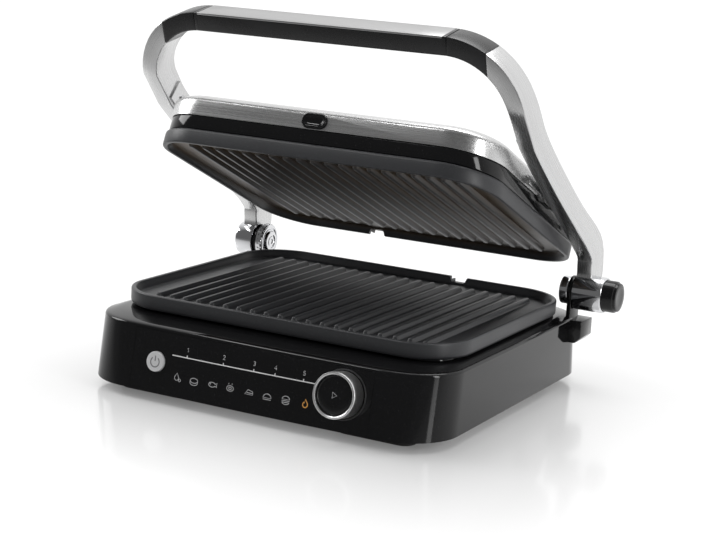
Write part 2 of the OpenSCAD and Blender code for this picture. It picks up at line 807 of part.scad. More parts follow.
module release_spring() {
    color(steel) difference() {
        x_cylinder(pin_end + gap + seat, release_x1 - 4.5 - release_travel - 0.4, release_r - 3);
        x_cylinder(pin_end, release_x1, release_r - 4.5);
    }
}

// ---- Arms and handle --------------------------------------------------------------------

// Half width of an arm beside the lid
arm_hw = 10.7;
// A place in an arm's side view, from the hinge axis: back and up in hinge-to-pivot distances, half width
// in arm_hw
function arm_at(p) = [hinge_y + p.x * (hinge_y + pivot_fwd), hinge_z + p.y * (hinge_y + pivot_fwd),
    p.z * arm_hw];
// Middle line of an arm seen from the side
arm_line = [for (p = [
    [0.0082, -0.0082, 1.215], [0.0533, 0.082, 1.271], [0.0574, 0.1926, 1.308], [-0.0082, 0.3361, 1.215],
    [-0.377, 0.582, 1], [-0.7377, 0.8279, 1], [-1.0492, 1.0574, 1.028], [-1.2295, 1.2131, 1.121],
    [-1.3525, 1.3689, 1.215], [-1.4262, 1.541, 1.196], [-1.4918, 1.7295, 1.215], [-1.5246, 1.8361, 1.215]
]) arm_at(p)];
arm_curve = curve(arm_line, 4);
// Middle of the handle
handle_y = arm_line[10].x;
handle_z = arm_line[10].y;
arm_outer = arm_span / 2;
arm_inner = arm_outer - arm_t;
seam_x = arm_outer - seam_in;
seam_gap = 0.1;

module arm_band(x0, x1, grow, points = arm_curve) {
    translate([x0, 0, 0]) rotate([90, 0, 90]) linear_extrude(x1 - x0) polygon(band(points, grow));
}

module bail_place() {
    translate([0, handle_y, handle_z]) rotate([handle_lean, 0, 0]) children();
}

module bail_outline(half_w, top, r) {
    translate([-half_w, -2 * beyond]) square([2 * half_w, 2 * beyond + top - r]);
    translate([r - half_w, top - r - 1]) square([2 * (half_w - r), r + 1]);
    for (s = [-1, 1]) translate([s * (half_w - r), top - r]) circle(r, $fn = 96);
}

module bail() {
    intersection() {
        bail_place() rotate([90, 0, 0]) linear_extrude(3 * beyond, center = true) difference() {
            bail_outline(arm_outer, arm_t / 2 + crown, bail_r);
            bail_outline(arm_inner, -arm_t / 2, bail_r - arm_t);
        }
        arm_band(-arm_outer - 1, arm_outer + 1, 0);
    }
}

// The part of the bail between two upright planes across it, and above a height
module bail_cut(x0, x1, low = -2 * beyond) {
    intersection() {
        bail();
        bail_place() box([x0, -2 * beyond, low], [x1, 2 * beyond, bail_r]);
    }
}

module arm(eye_end) {
    difference() {
        union() {
            bail_cut(seam_x + seam_gap, 2 * beyond);
            x_cylinder(arm_inner, eye_end, eye_r);
        }
        x_cylinder(arm_inner - 1, pin_end + gap, pin_r + run_gap);
        // Bore and recess of the lid's pivot
        x_cylinder(arm_inner - 1, arm_outer + 1, pivot_r + run_gap, pivot_open.y, pivot_open.z);
        x_cylinder(arm_outer - 3, arm_outer + 1, pivot_r + 1.2, pivot_open.y, pivot_open.z);
        // Channel behind the inner cover
        arm_band(arm_inner - 1, arm_inner + channel_d, channel_hw - arm_hw, cable_curve);
        for (p = cover_screw_points) x_cylinder(arm_inner - 1, arm_inner + 9, screw_r, p.x, p.y);
    }
}

pivot_r = 4;
channel_d = 4.5;
channel_hw = 3;
// The stretch of the arm that holds the cable, and the stretch that the inner cover shuts
cable_curve = [for (p = curve([arm_line[3], arm_line[4], [pivot_open.y, pivot_open.z, 0]], 4)) [p.x, p.y,
    arm_hw]];
cover_curve = curve([for (i = [3 : 7]) arm_line[i]], 4);
cover_edge = 3;
inner_cover_t = 1.6;
cover_screw_points = [arm_at([-0.0934, 0.441, 0]), arm_at([-1.1475, 1.1434, 0])];

module right_arm() {
    color(steel) difference() {
        arm(eye_x1);
        x_cylinder(pin_end + gap, eye_x1 + 1, release_r + run_gap);
    }
}

module left_arm() {
    color(steel) mirror([1, 0, 0]) arm(pin_end + wall);
}

module inner_cover() {
    difference() {
        arm_band(arm_inner - inner_cover_t - 0.05, arm_inner - 0.05, -cover_edge, cover_curve);
        x_cylinder(arm_inner - 9, arm_outer, pivot_r + gap, pivot_open.y, pivot_open.z);
        for (p = cover_screw_points) x_cylinder(arm_inner - 9, arm_inner + 9, screw_r + 0.2, p.x, p.y);
    }
}

module right_arm_cover() {
    color(steel) inner_cover();
}

module left_arm_cover() {
    color(steel) mirror([1, 0, 0]) inner_cover();
}

module arm_screws() {
    color(chrome) for (m = [0, 1], p = cover_screw_points) mirror([m, 0, 0]) difference() {
        union() {
            x_cylinder(arm_inner - inner_cover_t - 1.2, arm_inner - inner_cover_t - 0.1, 3, p.x, p.y);
            x_cylinder(arm_inner - inner_cover_t - 0.6, arm_inner + 7, screw_r - run_gap, p.x, p.y);
        }
        box([arm_inner - inner_cover_t - 2, p.x - 4, p.y - 0.4],
            [arm_inner - inner_cover_t - 0.6, p.x + 4, p.y + 0.4]);
    }
}

module lid_cable() {
    color(ceramic_white) difference() {
        arm_band(arm_inner + 0.3, arm_inner + channel_d - 0.3, 1.8 - arm_hw, cable_curve);
        x_cylinder(arm_inner - 9, arm_outer, pivot_r + 1, pivot_open.y, pivot_open.z);
    }
}

inlay_t = 1.6;

// The inlay is the top of the handle, over its whole depth
inlay_low = arm_t / 2 + crown - inlay_t;
inlay_half = grip_len / 2 - 3;

module handle_grip() {
    half = grip_len / 2 - seam_gap;
    color(matt_black) difference() {
        bail_cut(-half, half);
        bail_place() box([-inlay_half - seat, -beyond, inlay_low - 0.05], [inlay_half + seat, beyond, beyond]);
    }
}

module handle_inlay() {
    color(chrome) bail_cut(-inlay_half, inlay_half, inlay_low);
}

module handle_end() {
    bail_cut(grip_len / 2 + seam_gap, seam_x - seam_gap);
}

module handle_end_right() {
    color(matt_black) handle_end();
}

module handle_end_left() {
    color(matt_black) mirror([1, 0, 0]) handle_end();
}

// ---- Lid ------------------------------------------------------------------------------------

frame_z0 = plate_z + plate_gap + plate_t + gap;
frame_z1 = frame_z0 + frame_h;
lid_r = plate_r - 1;
lid_top = frame_z1 + cover_h;
latch_h = 11.6;
latch_len = 21.6;
latch_z = frame_z1 + 6.8;
latch_travel = 3;

// Edge of the cover: upright, then a wide quarter round to the flat top
round_w = 30;
round_h = 10.5;
round_steps = 10;
function cover_edge_profile(t) = concat(
    [[0, frame_z1 - (t > 0 ? 1 : 0)], [lid_r - t, frame_z1 - (t > 0 ? 1 : 0)]],
    [for (i = [0 : round_steps]) let (a = 90 * i / round_steps)
        [lid_r - round_w + (round_w - t) * cos(a), lid_top - round_h + (round_h - t) * sin(a)]],
    [[0, lid_top - t]]
);

module lid_cover() {
    color(steel) lid_place() difference() {
        edge_form(lid_w, lid_d, lid_r, cover_edge_profile(0), frame_z1, lid_top);
        edge_form(lid_w, lid_d, lid_r, cover_edge_profile(sheet_t), frame_z1 - 1, lid_top - sheet_t);
        translate([0, 0, latch_z]) rotate([90, 0, 0]) linear_extrude(beyond)
            stadium(latch_len + 2 * gap, latch_h + 2 * gap);
        for (m = [0, 1]) mirror([m, 0, 0])
            x_cylinder(lid_w / 2 - 9, lid_w / 2 + 9, pivot_r + 1, pivot_shut.y, pivot_shut.z);
    }
}

upper_top = plate_z + plate_gap + plate_t - pocket_h;
upper_floor = frame_z1 - 3.6;
frame_inset = 1;
pan_w = plate_w - 28;
pan_d = plate_d - 28;

module lid_frame() {
    color(gloss_black) lid_place() difference() {
        union() {
            rounded_block(lid_w - 2 * frame_inset, lid_d - 2 * frame_inset, lid_r - frame_inset,
                frame_z0, frame_z1);
            // Spigot that the cover fits over
            rounded_block(lid_w - 2 * sheet_t - 1, lid_d - 2 * sheet_t - 1, lid_r - sheet_t - 0.5,
                frame_z1 - fuse, frame_z1 + 2);
            // Blocks inside the cover that the pivot pins sit in
            for (m = [0, 1]) mirror([m, 0, 0])
                box([lid_w / 2 - 18, pivot_shut.y - 12, frame_z1],
                    [lid_w / 2 - 4, pivot_shut.y + 12, pivot_shut.z + 5]);
            // Guide of the latch, open at the front
            box([-latch_len / 2 - 3, -lid_d / 2 + sheet_t + 1.5, frame_z1],
                [latch_len / 2 + 3, -lid_d / 2 + 32, latch_z + latch_h / 2 + 1]);
        }
        rounded_block(pan_w, pan_d, plate_r - 14, frame_z0 - 1, frame_z1 - 2.4);
        rounded_block(pan_w - 16, pan_d - 80, plate_r - 20, frame_z1 - 5, frame_z1 + 3);
        translate([0, -lid_d / 2 + 28, latch_z]) rotate([90, 0, 0]) linear_extrude(beyond)
            stadium(latch_len + 2 * gap, latch_h + 2 * gap);
        for (m = [0, 1]) mirror([m, 0, 0])
            x_cylinder(lid_w / 2 - 16, lid_w / 2 + 9, pivot_r + run_gap, pivot_shut.y, pivot_shut.z);
        for (s = [-1, 1]) translate([s * terminal_x * 2, heater_d / 2, frame_z0])
            cylinder(h = beyond, r = heater_r + 1.5);
    }
}

module upper_reflector() {
    color(steel) lid_place() difference() {
        rounded_block(pan_w - 2 * seat, pan_d - 2 * seat, plate_r - 14 - seat, frame_z0 + 0.2,
            frame_z1 - 2.4 - seat);
        rounded_block(pan_w - 2 * seat - 2, pan_d - 2 * seat - 2, plate_r - 15 - seat, frame_z0 - 1,
            upper_floor);
        for (s = [-1, 1]) translate([s * terminal_x * 2, heater_d / 2, frame_z0])
            cylinder(h = beyond, r = heater_r + 1.5);
    }
}

module upper_heater() {
    z = upper_top + gap + heater_r;
    color(matt_black) lid_place() heater_tubes(z, z, z + 14);
}

module upper_heater_clips() {
    color(steel) lid_place() clip_posts(upper_top + gap + 2 * heater_r + seat, upper_floor);
}

module upper_sensor() {
    color(ceramic_white) lid_place() {
        translate([0, 0, upper_floor - seat - 4]) cylinder(h = 4, r = sensor_r);
        translate([0, 0, upper_top + gap]) cylinder(h = upper_floor - seat - upper_top - gap, r = 4);
    }
}

bracket_plate_t = 3.2;

module lid_bracket() {
    x0 = lid_w / 2 + seat;
    lid_place() difference() {
        union() {
            x_cylinder(x0, x0 + bracket_plate_t, 11, pivot_shut.y, pivot_shut.z);
            box([x0, pivot_shut.y - 36, frame_z1 + 1],
                [x0 + bracket_plate_t, pivot_shut.y + 36, frame_z1 + 8]);
        }
        x_cylinder(x0 - 1, x0 + 9, pivot_r + run_gap, pivot_shut.y, pivot_shut.z);
    }
}

module lid_bracket_right() {
    color(steel) lid_bracket();
}

module lid_bracket_left() {
    color(steel) mirror([1, 0, 0]) lid_bracket();
}

module lid_pivot_pins() {
    color(chrome) for (m = [0, 1]) mirror([m, 0, 0]) difference() {
        union() {
            x_cylinder(lid_w / 2 - 15, arm_outer - 3 + gap, pivot_r, pivot_open.y, pivot_open.z);
            x_cylinder(arm_outer - 3 + gap, arm_outer - 1, pivot_r + 0.8, pivot_open.y, pivot_open.z);
        }
        box([arm_outer - 1.8, pivot_open.y - 6, pivot_open.z - 0.6],
            [arm_outer, pivot_open.y + 6, pivot_open.z + 0.6]);
    }
}

module lid_latch() {
    color(gloss_black) lid_place() translate([0, -lid_d / 2, latch_z]) rotate([90, 0, 0]) difference() {
        translate([0, 0, -22]) linear_extrude(24) stadium(latch_len, latch_h);
        translate([0, 0, -23]) cylinder(h = 20, r = 4.2);
        // Finger hollow
        translate([0, 0, 2]) linear_extrude(1.6, center = true) stadium(latch_len - 4, latch_h - 4);
    }
}

module latch_spring() {
    color(steel) lid_place() translate([0, -lid_d / 2, latch_z]) rotate([90, 0, 0]) difference() {
        translate([0, 0, -28 + seat]) cylinder(h = 28 - 3 - latch_travel - 0.6, r = 3.9);
        translate([0, 0, -beyond / 2]) cylinder(h = beyond, r = 3.1);
    }
}

// ---- Drawing ----------------------------------------------------------------------------------

base_housing();
bottom_cover();
feet();
cover_screws();
control_panel();
knob_bezel();
knob_ring();
start_button();
power_button();
encoder();
power_switch();
light_guide();
control_board();
power_board();
cable_gland();
lower_reflector();
lower_heater();
lower_heater_clips();
lower_sensor();
lower_plate();
plate_latch();
drip_tray();
hinge_bracket_left();
hinge_bracket_right();
hinge_pin_left();
hinge_pin_right();
hinge_hub_left();
hinge_washers();
release_button();
release_spring();
left_arm();
right_arm();
left_arm_cover();
right_arm_cover();
arm_screws();
lid_cable();
handle_grip();
handle_end_left();
handle_end_right();
handle_inlay();
lid_cover();
lid_frame();
upper_reflector();
upper_heater();
upper_heater_clips();
upper_sensor();
lid_bracket_left();
lid_bracket_right();
lid_pivot_pins();
lid_latch();
latch_spring();
upper_plate();
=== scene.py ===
# %% [markdown]
# # An electric indoor grill with a hinged lid
# The grill stands open: a black housing with a sloped control panel, a ribbed plate on top,
# two brushed arms that carry a black handle, and a steel lid that hangs between them.
# The measured solids come in first. What shows is then built again around them with soft edges
# and real finishes, because solids that are meant for measuring look too sharp and too plain.

# %% Load the measured solids
import math
import bmesh
import bpy
from mathutils import Matrix, Vector


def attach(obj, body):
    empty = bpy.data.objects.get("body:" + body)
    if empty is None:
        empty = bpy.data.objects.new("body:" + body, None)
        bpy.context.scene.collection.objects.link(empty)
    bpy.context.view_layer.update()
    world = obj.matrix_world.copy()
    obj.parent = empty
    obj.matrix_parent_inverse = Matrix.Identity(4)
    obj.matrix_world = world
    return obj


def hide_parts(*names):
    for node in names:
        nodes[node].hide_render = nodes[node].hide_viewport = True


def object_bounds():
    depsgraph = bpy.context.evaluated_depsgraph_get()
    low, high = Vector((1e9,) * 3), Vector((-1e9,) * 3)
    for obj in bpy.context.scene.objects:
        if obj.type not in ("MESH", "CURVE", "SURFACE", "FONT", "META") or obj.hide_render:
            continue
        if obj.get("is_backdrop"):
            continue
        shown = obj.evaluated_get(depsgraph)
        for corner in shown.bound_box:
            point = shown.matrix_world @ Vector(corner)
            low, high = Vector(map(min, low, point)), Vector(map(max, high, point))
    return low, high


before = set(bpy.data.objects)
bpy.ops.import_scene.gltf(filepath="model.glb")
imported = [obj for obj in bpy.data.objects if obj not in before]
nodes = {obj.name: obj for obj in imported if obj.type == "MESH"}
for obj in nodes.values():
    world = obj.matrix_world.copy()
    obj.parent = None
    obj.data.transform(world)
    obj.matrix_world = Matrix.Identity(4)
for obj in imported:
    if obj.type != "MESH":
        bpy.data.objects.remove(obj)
cad_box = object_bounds()
MM = 0.001
print("solids:", len(nodes), "box:", cad_box)

# %% [markdown]
# ## Camera
# A product photograph of this kind is taken from a little above and well to one side, with a long
# lens so that straight edges stay nearly parallel. The camera looks back along one vector, and is
# turned a few degrees about it, because the photograph is not quite level.

# %% Camera
azimuth, elevation, roll = math.radians(27.34), math.radians(11.67), math.radians(3.48)
back = Vector((math.sin(azimuth) * math.cos(elevation), -math.cos(azimuth) * math.cos(elevation), math.sin(elevation)))
level = Vector((math.cos(azimuth), math.sin(azimuth), 0))
upright = back.cross(level)
side = math.cos(roll) * level + math.sin(roll) * upright
top = math.cos(roll) * upright - math.sin(roll) * level
eye = Vector((664.83, -1269.07, 389.40)) * MM
lens = bpy.data.cameras.new("camera")
lens.lens, lens.sensor_width, lens.sensor_fit = 89.48, 36, "HORIZONTAL"
lens.clip_start, lens.clip_end = 0.05, 200
camera = bpy.data.objects.new("camera", lens)
camera.matrix_world = Matrix([(side[i], top[i], back[i], eye[i]) for i in range(3)] + [(0, 0, 0, 1)])
bpy.context.scene.collection.objects.link(camera)
bpy.context.scene.camera = camera
print("camera at", tuple(round(v, 3) for v in eye))

# %% [markdown]
# ## Nodes written as sums
# A material's nodes are easier to read as arithmetic. A Wire holds one socket, and + and * on it
# add the Math nodes. Every other node comes from Shader.node: the kind, its settings, its sockets.

# %% A small language for shaders
class Wire:
    def __init__(self, shader, socket):
        self.shader, self.socket = shader, socket

    def math(self, operation, a, b):
        return self.shader.node("ShaderNodeMath", {"operation": operation}, {0: a, 1: b})

    def __add__(self, other):
        return self.math("ADD", self, other)

    def __mul__(self, other):
        return self.math("MULTIPLY", self, other)

    __radd__ = __add__
    __rmul__ = __mul__


class Shader:
    def __init__(self, tree, fresh=True):
        self.tree = tree
        if fresh:
            tree.nodes.clear()

    def node(self, kind, settings=None, sockets=None, output=0):
        made = self.tree.nodes.new(kind)
        for name, value in (settings or {}).items():
            if name == "stops":
                for stop, (place, tone) in zip(made.color_ramp.elements, value):
                    stop.position, stop.color = place, tone
            else:
                setattr(made, name, value)
        for name, value in (sockets or {}).items():
            if isinstance(value, Wire):
                self.tree.links.new(value.socket, made.inputs[name])
            else:
                made.inputs[name].default_value = value
        return Wire(self, made.outputs[output])

    def grain(self, scale, stretch=(1, 1, 1), detail=3.0, source="Object"):
        place = self.node("ShaderNodeTexCoord", output=source)
        place = self.node("ShaderNodeMapping", None, {"Vector": place, "Scale": stretch})
        return self.node("ShaderNodeTexNoise", None, {"Vector": place, "Scale": scale, "Detail": detail})

    def here(self):
        return self.node("ShaderNodeTexCoord", output="Object")

    def vector(self, operation, a, b=(0, 0, 0), output=0):
        return self.node("ShaderNodeVectorMath", {"operation": operation}, {0: a, 1: b}, output)

    def y_of(self, place):
        return self.node("ShaderNodeSeparateXYZ", None, {"Vector": place}, output="Y")

    def blend(self, mask, low, high):
        return self.node("ShaderNodeMix", {"data_type": "RGBA"}, {0: mask, 6: low, 7: high}, output=2)

    def ramp(self, mask, low, high):
        return self.node("ShaderNodeMapRange", None, {0: mask, 1: low, 2: high})

    def rays(self):
        path = self.tree.nodes.new("ShaderNodeLightPath")
        return [Wire(self, path.outputs[name]) for name in ("Is Camera Ray", "Is Glossy Ray", "Is Transmission Ray")]

    def bump(self, height, strength, distance):
        return self.node("ShaderNodeBump", None, {"Height": height, "Strength": strength, "Distance": distance})


print("wires and nodes ready")

# %% One finish
def material(name, build, **values):
    """A Principled finish. build returns what changes over the surface; values are the same all over."""
    made = bpy.data.materials.new(name)
    made.use_nodes = True
    shader = Shader(made.node_tree)
    sockets = {"Metallic": 0.0, "Roughness": 0.5}
    sockets.update({key.replace("_", " "): value for key, value in values.items()})
    sockets.update(build(shader))
    surface = shader.node("ShaderNodeBsdfPrincipled", None, sockets)
    end = made.node_tree.nodes.new("ShaderNodeOutputMaterial")
    made.node_tree.links.new(surface.socket, end.inputs["Surface"])
    return made


print("material() ready")

# %% [markdown]
# ## Finishes
# The black housing is moulded in a polished black plastic. Its colour is nearly nothing: what shows
# is what it mirrors, so the work is in the roughness, with faint wiping marks, and in a very
# shallow waviness that makes long reflections look moulded instead of cut from glass. The handle is
# satin from use, the hidden mouldings are matt, and the feet are rubber.

# %% Black plastics and rubber
def polished_black(shader):
    smear = shader.ramp(shader.grain(9, (1, 2, 6), 4), 0.35, 0.75)
    dust = shader.ramp(shader.grain(900, detail=1), 0.66, 0.8)
    wave = shader.grain(26, detail=1)
    return {
        "Base Color": shader.blend(dust, (0.006, 0.006, 0.0065, 1), (0.02, 0.02, 0.021, 1)),
        "Roughness": 0.055 + smear * 0.05 + dust * 0.06,
        "Normal": shader.bump(wave, 0.05, 0.0006),
    }


def moulded_black(shader):
    spark = shader.grain(2600, detail=2)
    patch = shader.grain(60, detail=2)
    return {
        "Base Color": shader.blend(shader.ramp(patch, 0.3, 0.7), (0.016, 0.016, 0.017, 1), (0.024, 0.024, 0.025, 1)),
        "Roughness": 0.36 + spark * 0.14,
        "Normal": shader.bump(spark, 0.12, 0.00006),
    }


def soft_rubber(shader):
    bloom = shader.ramp(shader.grain(45, detail=5), 0.4, 0.7)
    return {
        "Base Color": shader.blend(bloom, (0.012, 0.012, 0.012, 1), (0.022, 0.022, 0.021, 1)),
        "Roughness": 0.72 + bloom * 0.15,
        "Normal": shader.bump(shader.grain(1800, detail=2), 0.15, 0.00005),
    }


def satin_moulded(shader):
    fine = shader.grain(1400, detail=2)
    worn = shader.ramp(shader.grain(18, (1, 3, 3), 3), 0.45, 0.8)
    return {
        "Base Color": shader.blend(worn, (0.011, 0.011, 0.0115, 1), (0.018, 0.018, 0.019, 1)),
        "Roughness": 0.24 + fine * 0.06 + worn * 0.06,
        "Normal": shader.bump(fine, 0.06, 0.00004),
    }


gloss_black = material("polished_black_plastic", polished_black, Specular_IOR_Level=0.35)
satin_black = material("satin_black_grip", satin_moulded)
matt_black = material("moulded_black_plastic", moulded_black)
rubber = material("soft_black_rubber", soft_rubber)
print("black finishes:", gloss_black.name, satin_black.name, matt_black.name, rubber.name)

# %% [markdown]
# Brushed metal is a polished metal with thousands of fine lines in one direction. A noise that is
# stretched along the brushing gives the lines. It varies the colour a little, the roughness more,
# and tilts the surface across the lines, which spreads a highlight into a band. On the arms the
# lines follow the bend, so there the noise is laid on the piece's own UV map.

# %% Metals
def brushed(stretch, tone, rough, source="Object", warm=0.0):
    def build(shader):
        line = shader.grain(1, stretch, 4, source)
        broad = shader.grain(1, tuple(value * 0.06 for value in stretch), 2, source)
        shade = shader.ramp(line, 0.25, 0.75) * 0.6 + broad * 0.4
        low = tuple(tone * 0.84 * (1 + warm * k) for k in (1, 0, -1)) + (1,)
        high = tuple(min(tone * 1.1 * (1 + warm * k), 1) for k in (1, 0, -1)) + (1,)
        return {
            "Base Color": shader.blend(shade, low, high),
            "Roughness": rough - 0.07 + shade * 0.14,
            "Normal": shader.bump(line, 0.16, 0.00003),
        }
    return build


def mirror_plating(shader):
    haze = shader.ramp(shader.grain(40, detail=4), 0.45, 0.75)
    return {
        "Base Color": shader.blend(haze, (0.74, 0.745, 0.76, 1), (0.68, 0.685, 0.7, 1)),
        "Roughness": 0.07 + haze * 0.07,
    }


def zinc_plating(shader):
    spangle = shader.node("ShaderNodeTexVoronoi", None, {"Vector": shader.here(), "Scale": 700})
    return {
        "Base Color": shader.blend(spangle, (0.5, 0.51, 0.53, 1), (0.66, 0.66, 0.65, 1)),
        "Roughness": 0.28 + spangle * 0.12,
    }


def annealed_tube(shader):
    tint = shader.ramp(shader.grain(22, detail=3), 0.35, 0.7)
    return {
        "Base Color": shader.blend(tint, (0.05, 0.055, 0.075, 1), (0.13, 0.09, 0.06, 1)),
        "Roughness": 0.38 + tint * 0.15,
        "Normal": shader.bump(shader.grain(1500), 0.1, 0.00004),
    }


lid_steel = material("brushed_steel_across", brushed((5, 900, 900), 0.66, 0.27), Metallic=1.0)
arm_steel = material("brushed_steel_along_arm", brushed((4, 260, 1), 0.68, 0.27, "UV"), Metallic=1.0)
inlay_steel = material("brushed_steel_inlay", brushed((5, 900, 900), 0.44, 0.32), Metallic=1.0)
satin_silver = material("satin_silver", brushed((420, 420, 420), 0.78, 0.33), Metallic=1.0)
sheet_metal = material("bright_sheet", brushed((40, 500, 40), 0.66, 0.26), Metallic=1.0)
chrome = material("polished_plating", mirror_plating, Metallic=1.0)
zinc = material("zinc_plated_steel", zinc_plating, Metallic=1.0)
heater_metal = material("annealed_heater_tube", annealed_tube, Metallic=0.85)
print("metals:", lid_steel.name, arm_steel.name, chrome.name)

# %% [markdown]
# The plates are cast and then sprayed with a non-stick coating: a dark grey with a faint sparkle,
# neither matt nor glossy, and slightly bumpy like fine leather. The upper plate has browned a
# little between its ribs, where fat has baked on.

# %% Plate coatings
def coating(browned):
    def build(shader):
        fleck = shader.ramp(shader.grain(1500, detail=2), 0.62, 0.78)
        cloud = shader.ramp(shader.grain(14, detail=3), 0.3, 0.75)
        plain = shader.blend(fleck, (0.034, 0.035, 0.038, 1), (0.085, 0.087, 0.092, 1))
        tone = plain
        if browned:
            height = shader.node("ShaderNodeAttribute", {"attribute_name": "hollow"}, output=2)
            tone = shader.blend(height * (0.35 + cloud * 0.65), plain, (0.088, 0.058, 0.03, 1))
        return {
            "Base Color": tone,
            "Roughness": 0.36 + cloud * 0.08 + fleck * 0.08,
            "Normal": shader.bump(shader.grain(1100, detail=3), 0.16, 0.00009),
        }
    return build


plate_coating = material("non_stick_coating", coating(False))
browned_coating = material("browned_non_stick_coating", coating(True))
print("coatings:", plate_coating.name, browned_coating.name)

# %% [markdown]
# The small finishes: silver paint on the power button, the grey and amber inks of the panel, the
# milky plastic that carries light behind the panel, and the green boards inside.

# %% Paints, inks and inner parts
def speckled(low, high, rough, scale=700):
    def build(shader):
        grain = shader.ramp(shader.grain(scale, detail=2), 0.35, 0.65)
        return {"Base Color": shader.blend(grain, low + (1,), high + (1,)), "Roughness": rough + grain * 0.1}
    return build


def circuit(shader):
    cell = shader.node("ShaderNodeTexVoronoi", {"distance": "CHEBYCHEV"}, {"Vector": shader.here(), "Scale": 320})
    track = shader.ramp(cell, 0.42, 0.46)
    return {
        "Base Color": shader.blend(track, (0.012, 0.1, 0.045, 1), (0.05, 0.2, 0.09, 1)),
        "Roughness": 0.3 + track * 0.2,
        "Normal": shader.bump(track, 0.2, 0.00005),
    }


grey_ink = material("grey_ink", speckled((0.5, 0.5, 0.51), (0.6, 0.6, 0.61), 0.4, 1800))
button_paint = material("light_silver_paint", speckled((0.66, 0.66, 0.67), (0.78, 0.78, 0.79), 0.35, 2400),
                        Metallic=0.3)
line_ink = material("line_ink", speckled((0.72, 0.72, 0.72), (0.8, 0.8, 0.8), 0.4, 1800))
mid_ink = material("mid_ink", speckled((0.16, 0.16, 0.165), (0.22, 0.22, 0.225), 0.4, 1800))
amber_ink = material("amber_ink", speckled((0.75, 0.34, 0.07), (0.85, 0.42, 0.1), 0.4, 1800))
milky = material("milky_plastic", speckled((0.66, 0.65, 0.61), (0.76, 0.75, 0.71), 0.45))
board = material("circuit_board", circuit)
print("small finishes:", button_paint.name, grey_ink.name, amber_ink.name, milky.name, board.name)

# %% [markdown]
# ## Tools for shaping
# Every shape is made in millimetres and shrunk to metres at the end, so the numbers stay those of
# the drawing. soften() rounds each sharp edge, because a real edge always catches a line of light.

# %% Shaping helpers
def soften(bm, width, segments=2, angle=30, where=None):
    limit = math.radians(angle)
    edges = [e for e in bm.edges
             if len(e.link_faces) == 2 and e.calc_face_angle() > limit and (where is None or where(e))]
    bmesh.ops.bevel(bm, geom=edges, offset=width, offset_type="OFFSET", affect="EDGES", segments=segments,
                    profile=0.5, material=-1, clamp_overlap=True)


def slab(bm, w, d, r, z0, z1, steps=10):
    """A block with upright edges rounded to r, centred on x = y = 0."""
    verts = bmesh.ops.create_cube(bm, size=1)["verts"]
    bmesh.ops.scale(bm, vec=(w, d, z1 - z0), verts=verts)
    bmesh.ops.translate(bm, vec=(0, 0, (z0 + z1) / 2), verts=verts)
    edges = {e for v in verts for e in v.link_edges if abs((e.verts[0].co - e.verts[1].co).z) > 1e-4}
    if r > 0:
        bmesh.ops.bevel(bm, geom=list(edges), offset=r, offset_type="OFFSET", affect="EDGES", segments=steps,
                        profile=0.5, material=-1, clamp_overlap=False)


def flat_face(bm, z, up=True):
    """The largest level face at height z."""
    sign = 1 if up else -1
    bm.normal_update()
    return max((f for f in bm.faces if abs(f.calc_center_median().z - z) < 1e-3 and f.normal.z * sign > 0.9),
               key=lambda f: f.calc_area())


def step_in(bm, face, inset, rise, stretch=(1, 1)):
    """Shrinks a face inwards by a band and lifts it: the band becomes a ring of new faces."""
    if inset > 0:
        bmesh.ops.inset_individual(bm, faces=[face], thickness=inset, depth=0, use_even_offset=True)
    for v in face.verts:
        v.co.z += rise
        v.co.x *= stretch[0]
        v.co.y *= stretch[1]


def turned(bm, profile, steps):
    """Spins a profile of (radius, height) about the Z axis."""
    verts = [bm.verts.new((r, 0, h)) for r, h in profile]
    edges = [bm.edges.new(pair) for pair in zip(verts, verts[1:])]
    bmesh.ops.spin(bm, geom=verts + edges, cent=(0, 0, 0), axis=(0, 0, 1), angle=2 * math.pi, steps=steps,
                   use_merge=True)
    bmesh.ops.remove_doubles(bm, verts=bm.verts, dist=1e-4)


print("shaping helpers ready")

# %% From a shape to a piece
def piece(bm, name, body, finish, slot, hides=(), smooth=32, place=None, clean=True):
    """Puts a shape into the scene as one named piece that rides on a body."""
    if clean:
        bmesh.ops.recalc_face_normals(bm, faces=bm.faces)
    if place is not None:
        bmesh.ops.transform(bm, matrix=place, verts=bm.verts)
        if place.to_3x3().determinant() < 0:
            bmesh.ops.reverse_faces(bm, faces=bm.faces)
    bmesh.ops.scale(bm, vec=(MM, MM, MM), verts=bm.verts)
    mesh = bpy.data.meshes.new(name)
    bm.to_mesh(mesh)
    bm.free()
    mesh.shade_smooth()
    mesh.set_sharp_from_angle(angle=math.radians(smooth))
    mesh.materials.append(finish)
    made = bpy.data.objects.new(name, mesh)
    bpy.context.scene.collection.objects.link(made)
    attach(made, body)
    if hides:
        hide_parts(*hides)
    return made


def lathe(name, body, finish, slot, hides, place, profile, steps=96):
    """One turned piece, from its profile to its place."""
    bm = bmesh.new()
    turned(bm, profile, steps)
    return piece(bm, name, body, finish, slot, hides, place=place, smooth=28)


def give_wall(made, thickness, offset=-1):
    """Gives a skin its wall: inwards with an offset of -1, outwards with 1."""
    shell = made.modifiers.new("wall", "SOLIDIFY")
    shell.thickness, shell.offset = thickness * MM, offset


def round_edges(made, width, segments=2, angle=40):
    rim = made.modifiers.new("edge", "BEVEL")
    rim.width, rim.segments, rim.limit_method, rim.angle_limit = width * MM, segments, "ANGLE", math.radians(angle)
    rim.harden_normals = True


